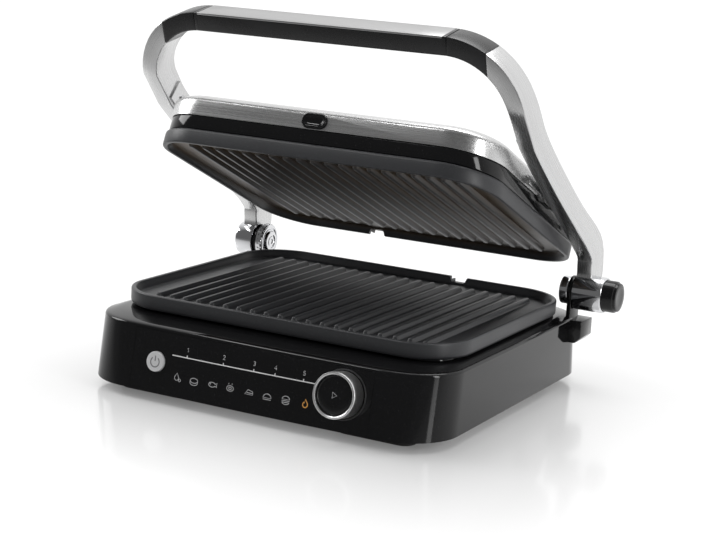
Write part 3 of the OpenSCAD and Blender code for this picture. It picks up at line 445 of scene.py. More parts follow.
def dress(node, body, finish, slot, width=0.3, segments=2, angle=30):
    """A softened copy of a measured solid: its loose triangles are merged, then, for a width above 0, its edges
    rounded.
    """
    bm = bmesh.new()
    bm.from_mesh(nodes[node].data)
    bmesh.ops.scale(bm, vec=(1 / MM,) * 3, verts=bm.verts)
    bmesh.ops.remove_doubles(bm, verts=bm.verts, dist=1e-3)
    bmesh.ops.dissolve_limit(bm, angle_limit=math.radians(0.4), verts=bm.verts, edges=bm.edges)
    if width > 0:
        soften(bm, width, segments, angle)
    return piece(bm, node + "_soft", body, finish, slot, [node], clean=False)


print("piece helpers ready")

# %% [markdown]
# ## Housing
# The housing is one moulded shell: a rounded block that leans in at the front, closed by a low dome
# whose middle is a neck and a well for the plate. It starts as a cube with rounded upright edges.
# Insetting the top face again and again, each time a little higher, draws the dome, and the same
# tool draws the neck and the well. Windows are cut where the panel, the tray and the latch sit.

# %% Sizes of the housing
foot_h, edge_z, deck_z, wall = 8, 56, 61, 2.8
bow, panel_half, panel_top, panel_lean = 4, 105, 55.6, math.radians(10)
base_w, base_d, base_r = 314, 310, 43
base_top_d = base_d - 2 * math.tan(panel_lean) * (edge_z - foot_h)
tray_half, tray_z0, tray_z1 = 69.3, 10.65, 34.1
latch_half, latch_z0, latch_z1 = 14.3, 37.7, 50.3
drain_x0, drain_x1, drain_y0, drain_y1 = 32, 60, 130, 143


def bow_at(x):
    return bow * (1 - (2 * x / base_w) ** 2)


def front_y(x, z):
    return -(base_d + (base_top_d - base_d) * (z - foot_h) / (edge_z - foot_h)) / 2 - bow_at(x)


def cut(bm, point, normal, test):
    """Slices the faces that pass the test with a plane, so that a straight seam runs across them."""
    faces = [f for f in bm.faces if test(f.calc_center_median())]
    parts = list({e for f in faces for e in f.edges}) + list({v for f in faces for v in f.verts}) + faces
    bmesh.ops.bisect_plane(bm, geom=parts, dist=1e-4, plane_co=point, plane_no=normal)


def drop_faces(bm, test):
    bm.normal_update()
    bmesh.ops.delete(bm, geom=[f for f in bm.faces if test(f.calc_center_median(), f.normal)], context="FACES")


def housing_skin(half, top):
    """The outer skin of the housing, with seams around the front panel at half and top."""
    bm = bmesh.new()
    slab(bm, base_w, base_d, base_r, foot_h, edge_z, 14)
    for v in bm.verts:
        if v.co.z > edge_z - 0.1:
            v.co.y *= base_top_d / base_d
    face = flat_face(bm, edge_z)
    for inset, rise in [(0.15, 0.6), (0.4, 0.75), (0.8, 0.65), (1.25, 0.4), (1.4, 0.3)]:
        step_in(bm, face, inset, rise)
    half_d = base_top_d / 2 - 4
    for k in range(5):
        rise = 2.3 * (math.sin(math.pi / 10 * (k + 1)) - math.sin(math.pi / 10 * k))
        step_in(bm, face, 1.6, rise, (1, (half_d - 4.9) / (half_d - 1.6)))
        half_d -= 4.9
    for inset, rise in [(3.5, 0), (0.1, 0.8), (0.3, 0.4), (3.6, 0), (0.05, -1.2), (4, 0), (0.05, -17.4)]:
        step_in(bm, face, inset, rise)
    bmesh.ops.delete(bm, geom=[face], context="FACES_ONLY")
    drop_faces(bm, lambda c, n: n.z < -0.9 and c.z < foot_h + 1)
    for x in sorted(list(range(-100, 101, 20)) + [-half, half]):
        cut(bm, (x, 0, 0), (1, 0, 0), lambda c: c.y < -90 and c.z < deck_z)
    cut(bm, (0, 0, top), (0, 0, 1), lambda c: c.y < -100)
    for v in bm.verts:
        if v.co.y < 0 and v.co.z < deck_z:
            fade = 1 if v.co.z < 58.7 else max(0.0, (deck_z - v.co.z) / (deck_z - 58.7))
            v.co.y -= bow_at(v.co.x) * fade
    return bm


# %% The housing
def is_panel(c, n):
    return abs(c.x) < panel_half + 0.1 and c.z < panel_top + 0.1 and n.y < -0.5 and c.y < -100


bm = housing_skin(panel_half + 0.15, panel_top + 0.15)
for x in (-tray_half, tray_half):
    cut(bm, (x, 0, 0), (1, 0, 0), lambda c: c.y > 100 and c.z < edge_z)
for z in (tray_z0, tray_z1):
    cut(bm, (0, 0, z), (0, 0, 1), lambda c: c.y > 100 and abs(c.x) < tray_half)
for x in (drain_x0, drain_x1):
    cut(bm, (x, 0, 0), (1, 0, 0), lambda c: c.y > 116 and c.z > edge_z)
for y in (drain_y0, drain_y1):
    cut(bm, (0, y, 0), (0, 1, 0), lambda c: c.y > 116 and c.z > edge_z and drain_x0 < c.x < drain_x1)
for y in (-latch_half, latch_half):
    cut(bm, (0, y, 0), (0, 1, 0), lambda c: c.x < -140 and c.z < edge_z)
for z in (latch_z0, latch_z1):
    cut(bm, (0, 0, z), (0, 0, 1), lambda c: c.x < -140 and abs(c.y) < latch_half)
drop_faces(bm, is_panel)
drop_faces(bm, lambda c, n: abs(c.x) < tray_half and tray_z0 < c.z < tray_z1 and n.y > 0.5 and c.y > 130)
drop_faces(bm, lambda c, n: abs(c.y) < latch_half and latch_z0 < c.z < latch_z1 and n.x < -0.5 and c.x < -140)
drop_faces(bm, lambda c, n: drain_x0 < c.x < drain_x1 and drain_y0 < c.y < drain_y1 and c.z > edge_z)
housing = piece(bm, "housing", "base", gloss_black, "gloss_black", ["base_housing"], smooth=35)
give_wall(housing, wall)
round_edges(housing, 0.35)
print("housing faces:", len(housing.data.polygons))

# %% The drain chute under the plate's spout
chute_h, chute_rear, chute_front = 23, -0.6, 1.2
bm = bmesh.new()
verts = bmesh.ops.create_cube(bm, size=1)["verts"]
bmesh.ops.scale(bm, vec=(drain_x1 - drain_x0, drain_y1 - drain_y0, chute_h), verts=verts)
bmesh.ops.translate(bm, vec=((drain_x0 + drain_x1) / 2, (drain_y0 + drain_y1) / 2, tray_z1 + chute_h / 2), verts=verts)
for v in verts:
    if v.co.z > edge_z:
        v.co.z += chute_front if v.co.y < (drain_y0 + drain_y1) / 2 else chute_rear
drop_faces(bm, lambda c, n: abs(n.z) > 0.9)
chute = piece(bm, "drain_chute", "base", gloss_black, "gloss_black", smooth=35)
give_wall(chute, 2, 1)
print("chute faces:", len(chute.data.polygons))

# %% [markdown]
# ## Front panel
# The panel is a separate moulding that continues the housing's skin, so it is cut from the same
# skin, a hair smaller. Its two round holes are cut by subtracting cylinders, which gives a clean
# round edge that no grid of faces could.

# %% Carving tool and the front panel
def carved(bm, cutter, thickness=0.0):
    """Subtracts one shape from another and returns what is left. A thickness gives bm its wall first."""
    objects = []
    for part in (bm, cutter):
        mesh = bpy.data.meshes.new("blank")
        part.to_mesh(mesh)
        part.free()
        objects.append(bpy.data.objects.new("blank", mesh))
        bpy.context.scene.collection.objects.link(objects[-1])
    blank, tool = objects
    if thickness:
        shell = blank.modifiers.new("wall", "SOLIDIFY")
        shell.thickness, shell.offset = thickness, -1
    take = blank.modifiers.new("take", "BOOLEAN")
    take.operation, take.solver, take.object, take.use_self = "DIFFERENCE", "EXACT", tool, True
    left = bmesh.new()
    graph = bpy.context.evaluated_depsgraph_get()
    left.from_mesh(blank.evaluated_get(graph).to_mesh())
    for made in objects:
        mesh = made.data
        bpy.data.objects.remove(made)
        bpy.data.meshes.remove(mesh)
    return left


def panel_place(x, z):
    """Where a control sits: X across the panel, Y up along it, Z straight out."""
    return Matrix.Translation((x, front_y(x, z), z)) @ Matrix.Rotation(math.pi / 2 - panel_lean, 4, "X")


knob_x, knob_z, power_x, power_z = 81.7, 35.5, -82.6, 32
bezel_r, power_r = 19.2, 7.9
bm = housing_skin(panel_half - 0.1, panel_top - 0.1)
drop_faces(bm, lambda c, n: not (abs(c.x) < panel_half - 0.1 and c.z < panel_top - 0.1 and n.y < -0.5 and c.y < -100))
bmesh.ops.recalc_face_normals(bm, faces=bm.faces)
if sum(f.normal.y for f in bm.faces) > 0:
    bmesh.ops.reverse_faces(bm, faces=bm.faces)
cutter = bmesh.new()
for x, z, r in ((knob_x, knob_z, bezel_r + 0.05), (power_x, power_z, power_r + 0.3)):
    bmesh.ops.create_cone(cutter, cap_ends=True, segments=96, radius1=r, radius2=r, depth=24, matrix=panel_place(x, z))
bm = carved(bm, cutter, wall)
panel = piece(bm, "front_panel", "base", gloss_black, "gloss_black", ["control_panel"], smooth=35)
round_edges(panel, 0.7, 3)
print("panel faces:", len(panel.data.polygons))

# %% [markdown]
# ## Marks on the panel
# The marks are printed, so they are almost flat. Each is drawn as a path, given a round section,
# made a mesh, and pressed to a few hundredths of a millimetre on the panel's own curve. Small
# pictures stand for kinds of food and plain figures stand over the line as a scale of settings.

# %% Printed marks
def stroke(name, paths, width, ink, slot, lift=0.05, body="base", surface=None):
    """Paths are lists of (across, up) on the panel, in millimetres; a path that ends where it began is closed."""
    curve = bpy.data.curves.new(name, "CURVE")
    curve.dimensions, curve.bevel_depth, curve.bevel_resolution = "3D", width / 2, 2
    for path in paths:
        closed = path[0] == path[-1]
        points = path[:-1] if closed else path
        line = curve.splines.new("POLY")
        line.points.add(len(points) - 1)
        for point, (x, y) in zip(line.points, points):
            point.co = (x, y, 0, 1)
        line.use_cyclic_u = closed
    curve.use_fill_caps = True
    drawn = bpy.data.objects.new(name + "_path", curve)
    bpy.context.scene.collection.objects.link(drawn)
    bm = bmesh.new()
    bm.from_mesh(drawn.to_mesh())
    drawn.to_mesh_clear()
    bpy.data.objects.remove(drawn)
    bpy.data.curves.remove(curve)
    for v in bm.verts:
        v.co = (surface or panel_point)(v.co.x, v.co.y, v.co.z * 2 * lift / width)
    return piece(bm, name, body, ink, slot, smooth=60)


def panel_point(x, up, out):
    """A point of the panel: across, up along it from mid height, and out from its skin."""
    z = 31 + up * math.cos(panel_lean)
    return Vector((x, front_y(x, z) - out * math.cos(panel_lean), z + out * math.sin(panel_lean)))


def arc(cx, cy, r, start, end, count=14, squash=1.0):
    return [(cx + r * math.cos(math.radians(start + (end - start) * k / count)),
             cy + r * squash * math.sin(math.radians(start + (end - start) * k / count))) for k in range(count + 1)]


line_x0, line_x1, line_up, tick_up, figure_up, picture_up = -68.5, 59, 8.5, 10.4, 14.6, -7.6
settings = (-55, -22, 5, 23.5, 48)
line = [(line_x0 + (line_x1 - line_x0) * k / 24, line_up) for k in range(25)]
ticks = [[(x, line_up), (x, tick_up)] for x in settings]
stroke("setting_line", [line] + ticks, 0.8, line_ink, "silver_paint")

figures = {
    "1": [[(-0.5, 1.0), (0.3, 1.6), (0.3, -1.6)]],
    "2": [arc(0, 0.75, 0.85, 160, -40, 8) + [(-0.9, -1.6), (1.0, -1.6)]],
    "3": [arc(-0.05, 0.75, 0.8, 150, -90, 8) + arc(-0.05, -0.85, 0.8, 90, -150, 8)],
    "4": [[(0.5, -1.6), (0.5, 1.6), (-1.0, -0.6), (1.1, -0.6)]],
    "5": [[(0.8, 1.6), (-0.7, 1.6), (-0.8, 0.2)] + arc(-0.1, -0.55, 0.95, 110, -150, 8)],
}


def moved(paths, x, up):
    return [[(x + a, up + b) for a, b in path] for path in paths]


for (figure, shape), x in zip(figures.items(), settings):
    stroke("figure_" + figure, moved(shape, x, figure_up), 0.42, grey_ink, "silver_paint")
print("figures:", len(figures))

# %% Pictures under the line
drop_top = [(0, 3.2)] + arc(0, -0.6, 1.9, 35, -215, 14) + [(0, 3.2)]
pictures = [
    [drop_top, arc(2.9, -2.2, 1.0, 60, -240, 8), [(2.9, -0.6), (3.4, -1.4)]],
    [arc(0, 0, 3.4, 0, 360, 16, 0.55), [(-3.4, 0), (-3.4, -1.7)], [(3.4, 0), (3.4, -1.7)],
     arc(0, -1.7, 3.4, 180, 360, 12, 0.55)],
    [arc(0, 0, 3.0, 20, 340, 14, 0.62), [(2.8, 0.7), (4.4, 1.7), (4.1, 0), (4.4, -1.7), (2.8, -0.7)],
     arc(-1.6, 0.4, 0.3, 0, 360, 8)],
    [arc(-0.6, 0, 3.0, 0, 360, 16, 0.7), arc(-0.6, 0, 1.3, 0, 360, 10, 0.7), [(-2.4, 3.0), (-2.0, 4.0)],
     [(0.6, 3.0), (1.0, 4.0)]],
    [[(-3.4, -1.6), (-1.0, 1.9), (3.2, 0.9), (3.4, -1.6), (-3.4, -1.6)], [(-1.8, -0.4), (3.2, -0.4)]],
    [arc(0, -1.4, 3.4, 0, 180, 12, 0.9) + [(3.4, -1.4)], [(-3.4, -2.6), (3.4, -2.6)]],
    [arc(0, 0.4, 3.2, 0, 180, 12, 0.75) + [(3.2, 0.4)], [(-3.4, -0.7), (3.4, -0.7)], [(-3.2, -1.9), (3.2, -1.9)],
     arc(0, -1.6, 3.1, 200, 340, 8, 0.6)],
]
for number, (picture, x) in enumerate(zip(pictures, (-62, -46, -29.5, -12.7, 3.5, 19.5, 35.5))):
    stroke(f"picture_{number + 1}", moved(picture, x, picture_up), 0.45, grey_ink, "silver_paint")
flame = [(0, 3.4), (1.1, 1.6), (2.0, 0.2), (1.9, -1.5), (0.8, -2.7), (-0.8, -2.7), (-1.9, -1.5), (-1.9, 0.1),
         (-1.2, 1.2), (-0.7, 0.5), (0, 3.4)]
stroke("amber_flame", moved([flame], 52, picture_up), 0.8, amber_ink, "silver_paint")
print("marks drawn:", 2 + len(figures) + len(pictures))

# %% [markdown]
# ## Knob and power button
# The knob is a satin ring around a black button, standing in a dished ring that lets fingers reach
# behind it. All are turned parts, so each is a profile spun about the knob's own axis. The black
# button is hollowed a little, and the rise at its edge catches a crescent of light.

# %% Knob
knob_place = panel_place(knob_x, knob_z)
knob_r, knob_h, shaft_bore, encoder_bore, button_r = 17.5, 15.6, 3.05, 6.05, 15
ring_in = knob_r - 2.2
lathe("knob_rim", "knob", satin_silver, "chrome", ["knob_ring"], knob_place, [
    (shaft_bore, -11), (6, -11), (6, 0.2), (knob_r - 0.9, 0.2), (knob_r - 0.25, 0.45), (knob_r, 1.0),
    (knob_r, knob_h - 1.3), (knob_r - 0.12, knob_h - 0.7), (knob_r - 0.45, knob_h - 0.22), (knob_r - 0.95, knob_h),
    (knob_r - 1.35, knob_h - 0.02), (ring_in + 0.4, knob_h - 0.3), (ring_in + 0.1, knob_h - 0.6),
    (ring_in, knob_h - 1.0), (ring_in, 3.2), (shaft_bore, 3.2), (shaft_bore, -11)])

face_h = knob_h - 1.68
lathe("start_face", "start_button", gloss_black, "gloss_black", ["start_button"], knob_place, [
    (0, -12), (3, -12), (3, 4.7), (button_r, 4.7), (button_r, knob_h - 3.6), (14.8, knob_h - 2.9),
    (14.2, knob_h - 2.35), (13.2, knob_h - 1.95), (11.8, knob_h - 1.72), (9, knob_h - 1.62), (5, face_h), (0, face_h)])


def knob_face(x, up, out):
    return knob_place @ Vector((x, up, face_h + out))


stroke("start_mark", [[(-1.5, 2.2), (2.1, 0), (-1.5, -2.2), (-1.5, 2.2)]], 0.5, grey_ink, "silver_paint", 0.12,
       "start_button", knob_face)
lathe("knob_dish", "base", matt_black, "matt_black", ["knob_bezel"], knob_place, [
    (encoder_bore, -4.5), (bezel_r, -4.5), (bezel_r, 0.15), (bezel_r - 0.15, 0.4), (bezel_r - 0.5, 0.5),
    (bezel_r - 0.9, 0.35), (knob_r + 0.4, -1.2), (knob_r - 1, -1.4), (encoder_bore, -1.4), (encoder_bore, -4.5)])
print("knob turned, radius", knob_r)

# %% Power button
power_place, dome = panel_place(power_x, power_z), 0.25
lathe("power_face", "power_button", button_paint, "silver_paint", ["power_button"], power_place, [
    (0, -10), (2.5, -10), (2.5, -3.8), (power_r + 0.9, -5.0), (power_r + 0.9, -3.7), (power_r, -3.7), (power_r, 1.5),
    (power_r - 0.2, 1.95), (power_r - 0.8, 2.15), (power_r * 0.6, 2.0), (power_r * 0.3, 1.9), (0, 1.87)], 72)


def power_skin(x, up, out):
    return power_place @ Vector((x, up, 1.9 + dome * ((x * x + up * up) / power_r ** 2) + out))


stroke("power_mark", [arc(0, -0.3, 3.9, 128, 412, 28), [(0, 0.4), (0, 4.6)]], 1.0, mid_ink, "matt_black", 0.1,
       "power_button", power_skin)
print("power button turned, radius", power_r)

# %% [markdown]
# ## Grill plates
# Each plate is one casting: a rim, a sloping wall, a flat gutter and a row of ribs. The rim and the
# wall come from insetting the top of a rounded block. One rib is a long low block with round ends
# whose top is drawn in, and it is copied across the plate. The spout at the rear is carved last.

# %% Sizes of the plates
plate_w, plate_d, plate_r, plate_t, gutter, plate_z = 300, 246, 43, 12.5, 6.5, 75
rib_pitch, rib_count, rib_w, rib_l = 12.6, 20, 6.5, 200
spout_x, spout_y, spout_w, spout_l, lug_r, tail_y = 46, 125.25, 20, 11.5, 10.5, 119.9
channel_y, channel_w, channel_l = 132.5, 16, 30
lid_pivot_shut, lid_pivot, lid_lean = Vector((0, -4, 108.5)), Vector((0, 37.69, 176.18)), math.radians(23.5)
lid_place = Matrix.Translation(lid_pivot) @ Matrix.Rotation(-lid_lean, 4, "X") @ Matrix.Translation(-lid_pivot_shut)


def join(bm, part):
    mesh = bpy.data.meshes.new("part")
    part.to_mesh(mesh)
    part.free()
    bm.from_mesh(mesh)
    bpy.data.meshes.remove(mesh)


print("plate:", plate_w, "x", plate_d, "mm with", rib_count, "ribs")

# %% Spout, lug and ribs
def plate_tail():
    """The spout and the finger lug at the rear edge, cut off flush inside the rim."""
    tail = bmesh.new()
    slab(tail, spout_w, spout_l, 2.5, -plate_t + 0.3, 3 - gutter, 4)
    bmesh.ops.translate(tail, vec=(spout_x, spout_y, 0), verts=tail.verts)
    lug = bmesh.ops.create_cone(tail, cap_ends=True, segments=64, radius1=lug_r, radius2=lug_r, depth=10)["verts"]
    bmesh.ops.translate(tail, vec=(spout_x + spout_w / 2 + lug_r, plate_d / 2 - 2, -7.2), verts=lug)
    soften(tail, 1.2, 3, 50)
    sliced = bmesh.ops.bisect_plane(tail, geom=tail.verts[:] + tail.edges[:] + tail.faces[:],
                                    plane_co=(0, tail_y, 0), plane_no=(0, -1, 0), clear_outer=True)["geom_cut"]
    bmesh.ops.holes_fill(tail, edges=[e for e in sliced if isinstance(e, bmesh.types.BMEdge)])
    return tail


def ribs():
    """A row of ribs without undersides, each copied from the one before it."""
    row = bmesh.new()
    slab(row, rib_w, rib_l, 2.6, -gutter - 0.4, -gutter + 0.1, 5)
    face = flat_face(row, -gutter + 0.1)
    for inset, rise in [(0.35, 0.35), (0.45, 1.05), (0.45, 1.05), (0.3, 0.5), (0.35, 0.25), (0.4, 0.1)]:
        step_in(row, face, inset, rise)
    under = [f for f in row.faces if f.normal.z < -0.9 and f.calc_center_median().z < -gutter - 0.3]
    bmesh.ops.delete(row, geom=under, context="FACES_ONLY")
    for k in range(1, rib_count):
        copy = bmesh.ops.duplicate(row, geom=[f for f in row.faces if k == 1 or f.tag])
        fresh = [f for f in copy["geom"] if isinstance(f, bmesh.types.BMFace)]
        for f in row.faces:
            f.tag = False
        for f in fresh:
            f.tag = True
        bmesh.ops.translate(row, vec=(rib_pitch, 0, 0), verts=list({v for f in fresh for v in f.verts}))
    bmesh.ops.translate(row, vec=(-rib_pitch * (rib_count - 1) / 2, 0, 0), verts=row.verts)
    return row


print("spout and ribs ready")

# %% The two plates
def plate_shape():
    """One casting, with its rim's top at z = 0."""
    bm = bmesh.new()
    slab(bm, plate_w, plate_d, plate_r, -plate_t, 0, 16)
    soften(bm, 1.3, 3, 50, lambda e: all(v.co.z > -0.01 for v in e.verts))
    soften(bm, 2.6, 3, 50, lambda e: all(v.co.z < 0.01 - plate_t for v in e.verts))
    face = flat_face(bm, 0)
    for inset, rise in [(1.6, 0), (0.5, -0.12), (0.5, -0.45), (0.9, -2.2), (0.9, -2.4), (0.7, -0.85), (0.8, -0.4),
                        (0.9, -0.08)]:
        step_in(bm, face, inset, rise)
    under = flat_face(bm, -plate_t, False)
    for inset, rise in [(7.4, 0), (0.1, 2.5)]:
        step_in(bm, under, inset, rise)
    join(bm, plate_tail())
    cutter = bmesh.new()
    slab(cutter, channel_w, channel_l, 3, -gutter, 4, 5)
    bmesh.ops.translate(cutter, vec=(spout_x, channel_y, 0), verts=cutter.verts)
    bm = carved(bm, cutter)
    join(bm, ribs())
    return bm


def mark_hollows(made, height_of):
    """Stores how deep each point lies in the gutter, from 0 at the rim and rib tops to 1 at the floor."""
    layer = made.data.attributes.new("hollow", "FLOAT", "POINT")
    layer.data.foreach_set("value", [min(1.0, max(0.0, height_of(v.co / MM))) for v in made.data.vertices])


piece(plate_shape(), "lower_grill", "lower_plate", plate_coating, "coated_plate", ["lower_plate"], smooth=35,
      place=Matrix.Translation((0, 0, plate_z)), clean=False)
turned_over = lid_place @ Matrix.Translation((0, 0, plate_z + 1)) @ Matrix.Rotation(math.pi, 4, "Y")
upper = piece(plate_shape(), "upper_grill", "upper_plate", browned_coating, "coated_plate", ["upper_plate"],
              smooth=35, place=turned_over, clean=False)
shut = lid_place.inverted()


def hollow_at(co):
    local = shut @ co
    depth = (local.z - plate_z - 1) / gutter
    return (depth - 0.45) * 1.9 if depth < 1.05 else 0.0


mark_hollows(upper, hollow_at)
print("plates:", len(upper.data.polygons), "faces each")

# %% [markdown]
# ## Lid
# The lid is a brushed steel cover over a black frame. The cover rises straight, then turns over in
# a wide soft curve to a flat top. The curve is a quarter of an ellipse: each inset goes less far in
# and each lift less far up, as the cosine and sine of the same angle.

# %% Lid cover and frame
lid_w, lid_d, frame_z0, frame_z1, lid_top = 298, 244, 88.8, 100, 122
latch_z, latch_w, latch_h = 106.8, 21.6, 11.6


def stadium(w, h, depth, y, z):
    """A block with half-round ends: its outline lies across X and Z, and it is pushed back along Y."""
    part = bmesh.new()
    outline = [(s * ((w - h) / 2 + h / 2 * math.cos(a)), s * h / 2 * math.sin(a))
               for s in (1, -1) for a in (math.pi * (k / 12 - 0.5) for k in range(13))]
    front = part.faces.new([part.verts.new((a, y - depth / 2, z + b)) for a, b in outline])
    grown = bmesh.ops.extrude_face_region(part, geom=[front], use_keep_orig=True)["geom"]
    bmesh.ops.translate(part, vec=(0, depth, 0), verts=[v for v in grown if isinstance(v, bmesh.types.BMVert)])
    bmesh.ops.recalc_face_normals(part, faces=part.faces)
    return part


bm = bmesh.new()
slab(bm, lid_w, lid_d, 42, frame_z1, lid_top - 10.5, 16)
face = flat_face(bm, lid_top - 10.5)
angles = [math.pi / 2 * k / 12 for k in range(13)]
for a, b in zip(angles, angles[1:]):
    step_in(bm, face, 30 * (math.cos(a) - math.cos(b)), 10.5 * (math.sin(b) - math.sin(a)))
bmesh.ops.delete(bm, geom=[flat_face(bm, frame_z1, False)], context="FACES_ONLY")
bm = carved(bm, stadium(latch_w + 0.6, latch_h + 0.6, 40, -lid_d / 2, latch_z), 1.2)
cover = piece(bm, "lid_shell", "lid", lid_steel, "brushed_steel", ["lid_cover"], smooth=30, place=lid_place)
round_edges(cover, 0.35, 2, 45)

bm = bmesh.new()
slab(bm, lid_w - 2, lid_d - 2, 41, frame_z0, frame_z1, 16)
soften(bm, 1.0, 3, 50, lambda e: abs((e.verts[0].co - e.verts[1].co).z) < 0.01)
face = flat_face(bm, frame_z1)
step_in(bm, face, 1.2, 0)
step_in(bm, face, 0.05, 1.9)
face = flat_face(bm, frame_z0, False)
step_in(bm, face, 12, 0)
step_in(bm, face, 0.05, 8.6)
piece(bm, "lid_band", "lid", gloss_black, "gloss_black", ["lid_frame"], smooth=30, place=lid_place)

bm = stadium(latch_w, latch_h, 24, -lid_d / 2 + 10, latch_z)
soften(bm, 0.6, 3, 50, lambda e: all(v.co.y < -lid_d / 2 - 1.9 for v in e.verts))
face = max((f for f in bm.faces if f.calc_center_median().y < -lid_d / 2 - 1.9), key=lambda f: f.calc_area())
for inset, dent in [(0.8, 0.0), (0.6, 0.4), (0.9, 0.6), (1.4, 0.4)]:
    bmesh.ops.inset_individual(bm, faces=[face], thickness=inset, depth=0, use_even_offset=True)
    for v in face.verts:
        v.co.y += dent
piece(bm, "latch_button", "lid_latch", gloss_black, "gloss_black", ["lid_latch"], smooth=35, place=lid_place)
print("lid built")

# %% [markdown]
# ## Arms and handle
# One flat bar seems to run from the left hinge, over the top and down to the right hinge. Its
# section is a rounded rectangle, and its middle line bends in two views at once: forwards as seen
# from the side, and around two corners as seen from the front. So the line is worked out first as
# a list of stations, and a section is set at each station and bridged to the next.

# %% Line of the bar
hinge = Vector((0, 118, 80))
mirrored = Matrix.Scale(-1, 4, (1, 0, 0))
side_line = [(1, -1, 13), (6.5, 10, 13.6), (7, 23.5, 14), (-1, 41, 13), (-46, 71, 10.7), (-90, 101, 10.7),
             (-128, 129, 11), (-150, 148, 12), (-165, 167, 13), (-174, 188, 12.8), (-182, 211, 13), (-186, 224, 13)]
bar_t, arm_half, corner_r, lean, crown = 13.5, 163.25, 56.25, math.radians(12), 1.8
corner_x = arm_half - corner_r
seam_x, seam_gap, grip_x, inlay_half, inlay_a = 141.5, 0.12, 109.9, 107, 5.3
across, up_bar = Vector((1, 0, 0)), Vector((0, -math.sin(lean), math.cos(lean)))
wide_bar = across.cross(up_bar) * -1
handle = hinge + Vector((0, -182, 211))


def smooth_line(points, count):
    """A Catmull-Rom curve through points of any size."""
    out = []
    for k in range(len(points) - 1):
        a, b, c, d = (Vector(points[min(max(k + j, 0), len(points) - 1)]) for j in (-1, 0, 1, 2))
        for n in range(count):
            t = n / count
            bend = (2 * a - 5 * b + 4 * c - d) * t * t + (3 * b - a - 3 * c + d) * t ** 3
            out.append(0.5 * (2 * b + (c - a) * t + bend))
    return out + [Vector(points[-1])]


line_steps = 16
fine = smooth_line(side_line, line_steps)


def on_side(height=None, number=None):
    """Middle point, width direction and half width where the bar reaches a height up the handle's lean."""
    if number is None:
        rise = [(hinge + Vector((0, p.x, p.y)) - handle).dot(up_bar) for p in fine]
        number = next((k for k in range(4 * line_steps, len(rise) - 1) if rise[k] >= height), len(rise) - 2)
        share = (height - rise[number - 1]) / (rise[number] - rise[number - 1])
        spot = fine[number - 1].lerp(fine[number], share)
    else:
        spot = fine[number]
    ahead, behind = fine[min(number + 1, len(fine) - 1)], fine[max(number - 1, 0)]
    along = Vector((0, ahead.x - behind.x, ahead.y - behind.y)).normalized()
    return hinge + Vector((0, spot.x, spot.y)), Vector((0, along.z, -along.y)), spot.z


print("side line:", len(fine), "points")

# %% Sections across the bar
def station(angle=0, x=None, number=None, seam=0, high=None):
    """A section of the right half of the bar: what carries its points to their place, its half width, its top
    and the softness of its upper edges. a runs through the thickness and b across the width. At a seam of 1 the
    section stands upright at seam_x, and below 1 it is on its way there."""
    if number is not None:
        spot, wide, half = on_side(number=number)
        return lambda a, b: spot + (arm_half + a) * across + wide * b, half, bar_t / 2, None

    def turn_at(a):
        seam_side = seam_gap if angle > 38 else -seam_gap
        upright = math.asin((seam_x + seam_side - corner_x) / (corner_r + a))
        return math.radians(angle) * (1 - seam) + upright * seam

    def carry(a, b):
        turn = turn_at(a)
        lift = crown * (a / bar_t + 0.5)
        rise = (corner_r + a) * math.cos(turn) - corner_r + lift * (seam + (1 - seam) * math.cos(turn) ** 2)
        spread = (corner_r + a + lift * math.cos(turn) * (1 - seam)) * math.sin(turn)
        spot, wide, local_half = on_side(height=rise)
        reach = corner_x + spread if x is None else x
        return spot + reach * across + wide_bar * (b * local_half / half / wide.dot(wide_bar))

    half = on_side(height=corner_r * (math.cos(turn_at(0)) - 1))[2]
    return carry, half, bar_t / 2 if high is None else high, None if high is None else 0.4


print("sections ready")

# %% From sections to arms
def bar(stations, name, finish, slot, hides, mirror=False, round_off=1.1, low=-bar_t / 2):
    """Sets a rounded rectangle at each station and bridges the sections into a bar with closed ends."""
    bm = bmesh.new()
    run = bm.verts.layers.float.new("run")
    breadth = bm.verts.layers.float.new("breadth")
    loops, travelled, last = [], 0.0, None
    corners = [(True, 1, 0), (False, 1, 90), (False, -1, 180), (True, -1, 270)]
    for carry, half, high, crest in stations:
        middle = carry(0, 0)
        travelled += (middle - last).length if last else 0.0
        last = middle
        ring = []
        for upper, sign, start in corners:
            r = crest if upper and crest else round_off
            for k in range(4):
                turn = math.radians(start + 30 * k)
                level = high - r if upper else low + r
                ring.append((level + r * math.cos(turn), sign * (half - r) + r * math.sin(turn)))
        verts = bmesh.ops.create_circle(bm, segments=len(ring), radius=1)["verts"]
        for v, (a, b) in zip(verts, ring):
            v.co = carry(a, b)
            v[run], v[breadth] = travelled, a + b
        loops.append(list({e for v in verts for e in v.link_edges}))
    for first, second in zip(loops, loops[1:]):
        bmesh.ops.bridge_loops(bm, edges=first + second)
    ends = [bmesh.ops.contextual_create(bm, geom=loop)["faces"] for loop in (loops[0], loops[-1])]
    rim = list({e for faces in ends for f in faces for e in f.edges})
    bmesh.ops.bevel(bm, geom=rim, offset=0.35, offset_type="OFFSET", affect="EDGES", segments=2, profile=0.5,
                    material=-1, clamp_overlap=True)
    uv = bm.loops.layers.uv.new("grain")
    for f in bm.faces:
        for corner_loop in f.loops:
            corner_loop[uv].uv = (corner_loop.vert[run] * MM * 2, corner_loop.vert[breadth] * MM * 8)
    return piece(bm, name, "arm", finish, slot, hides, smooth=30, place=mirrored if mirror else None)


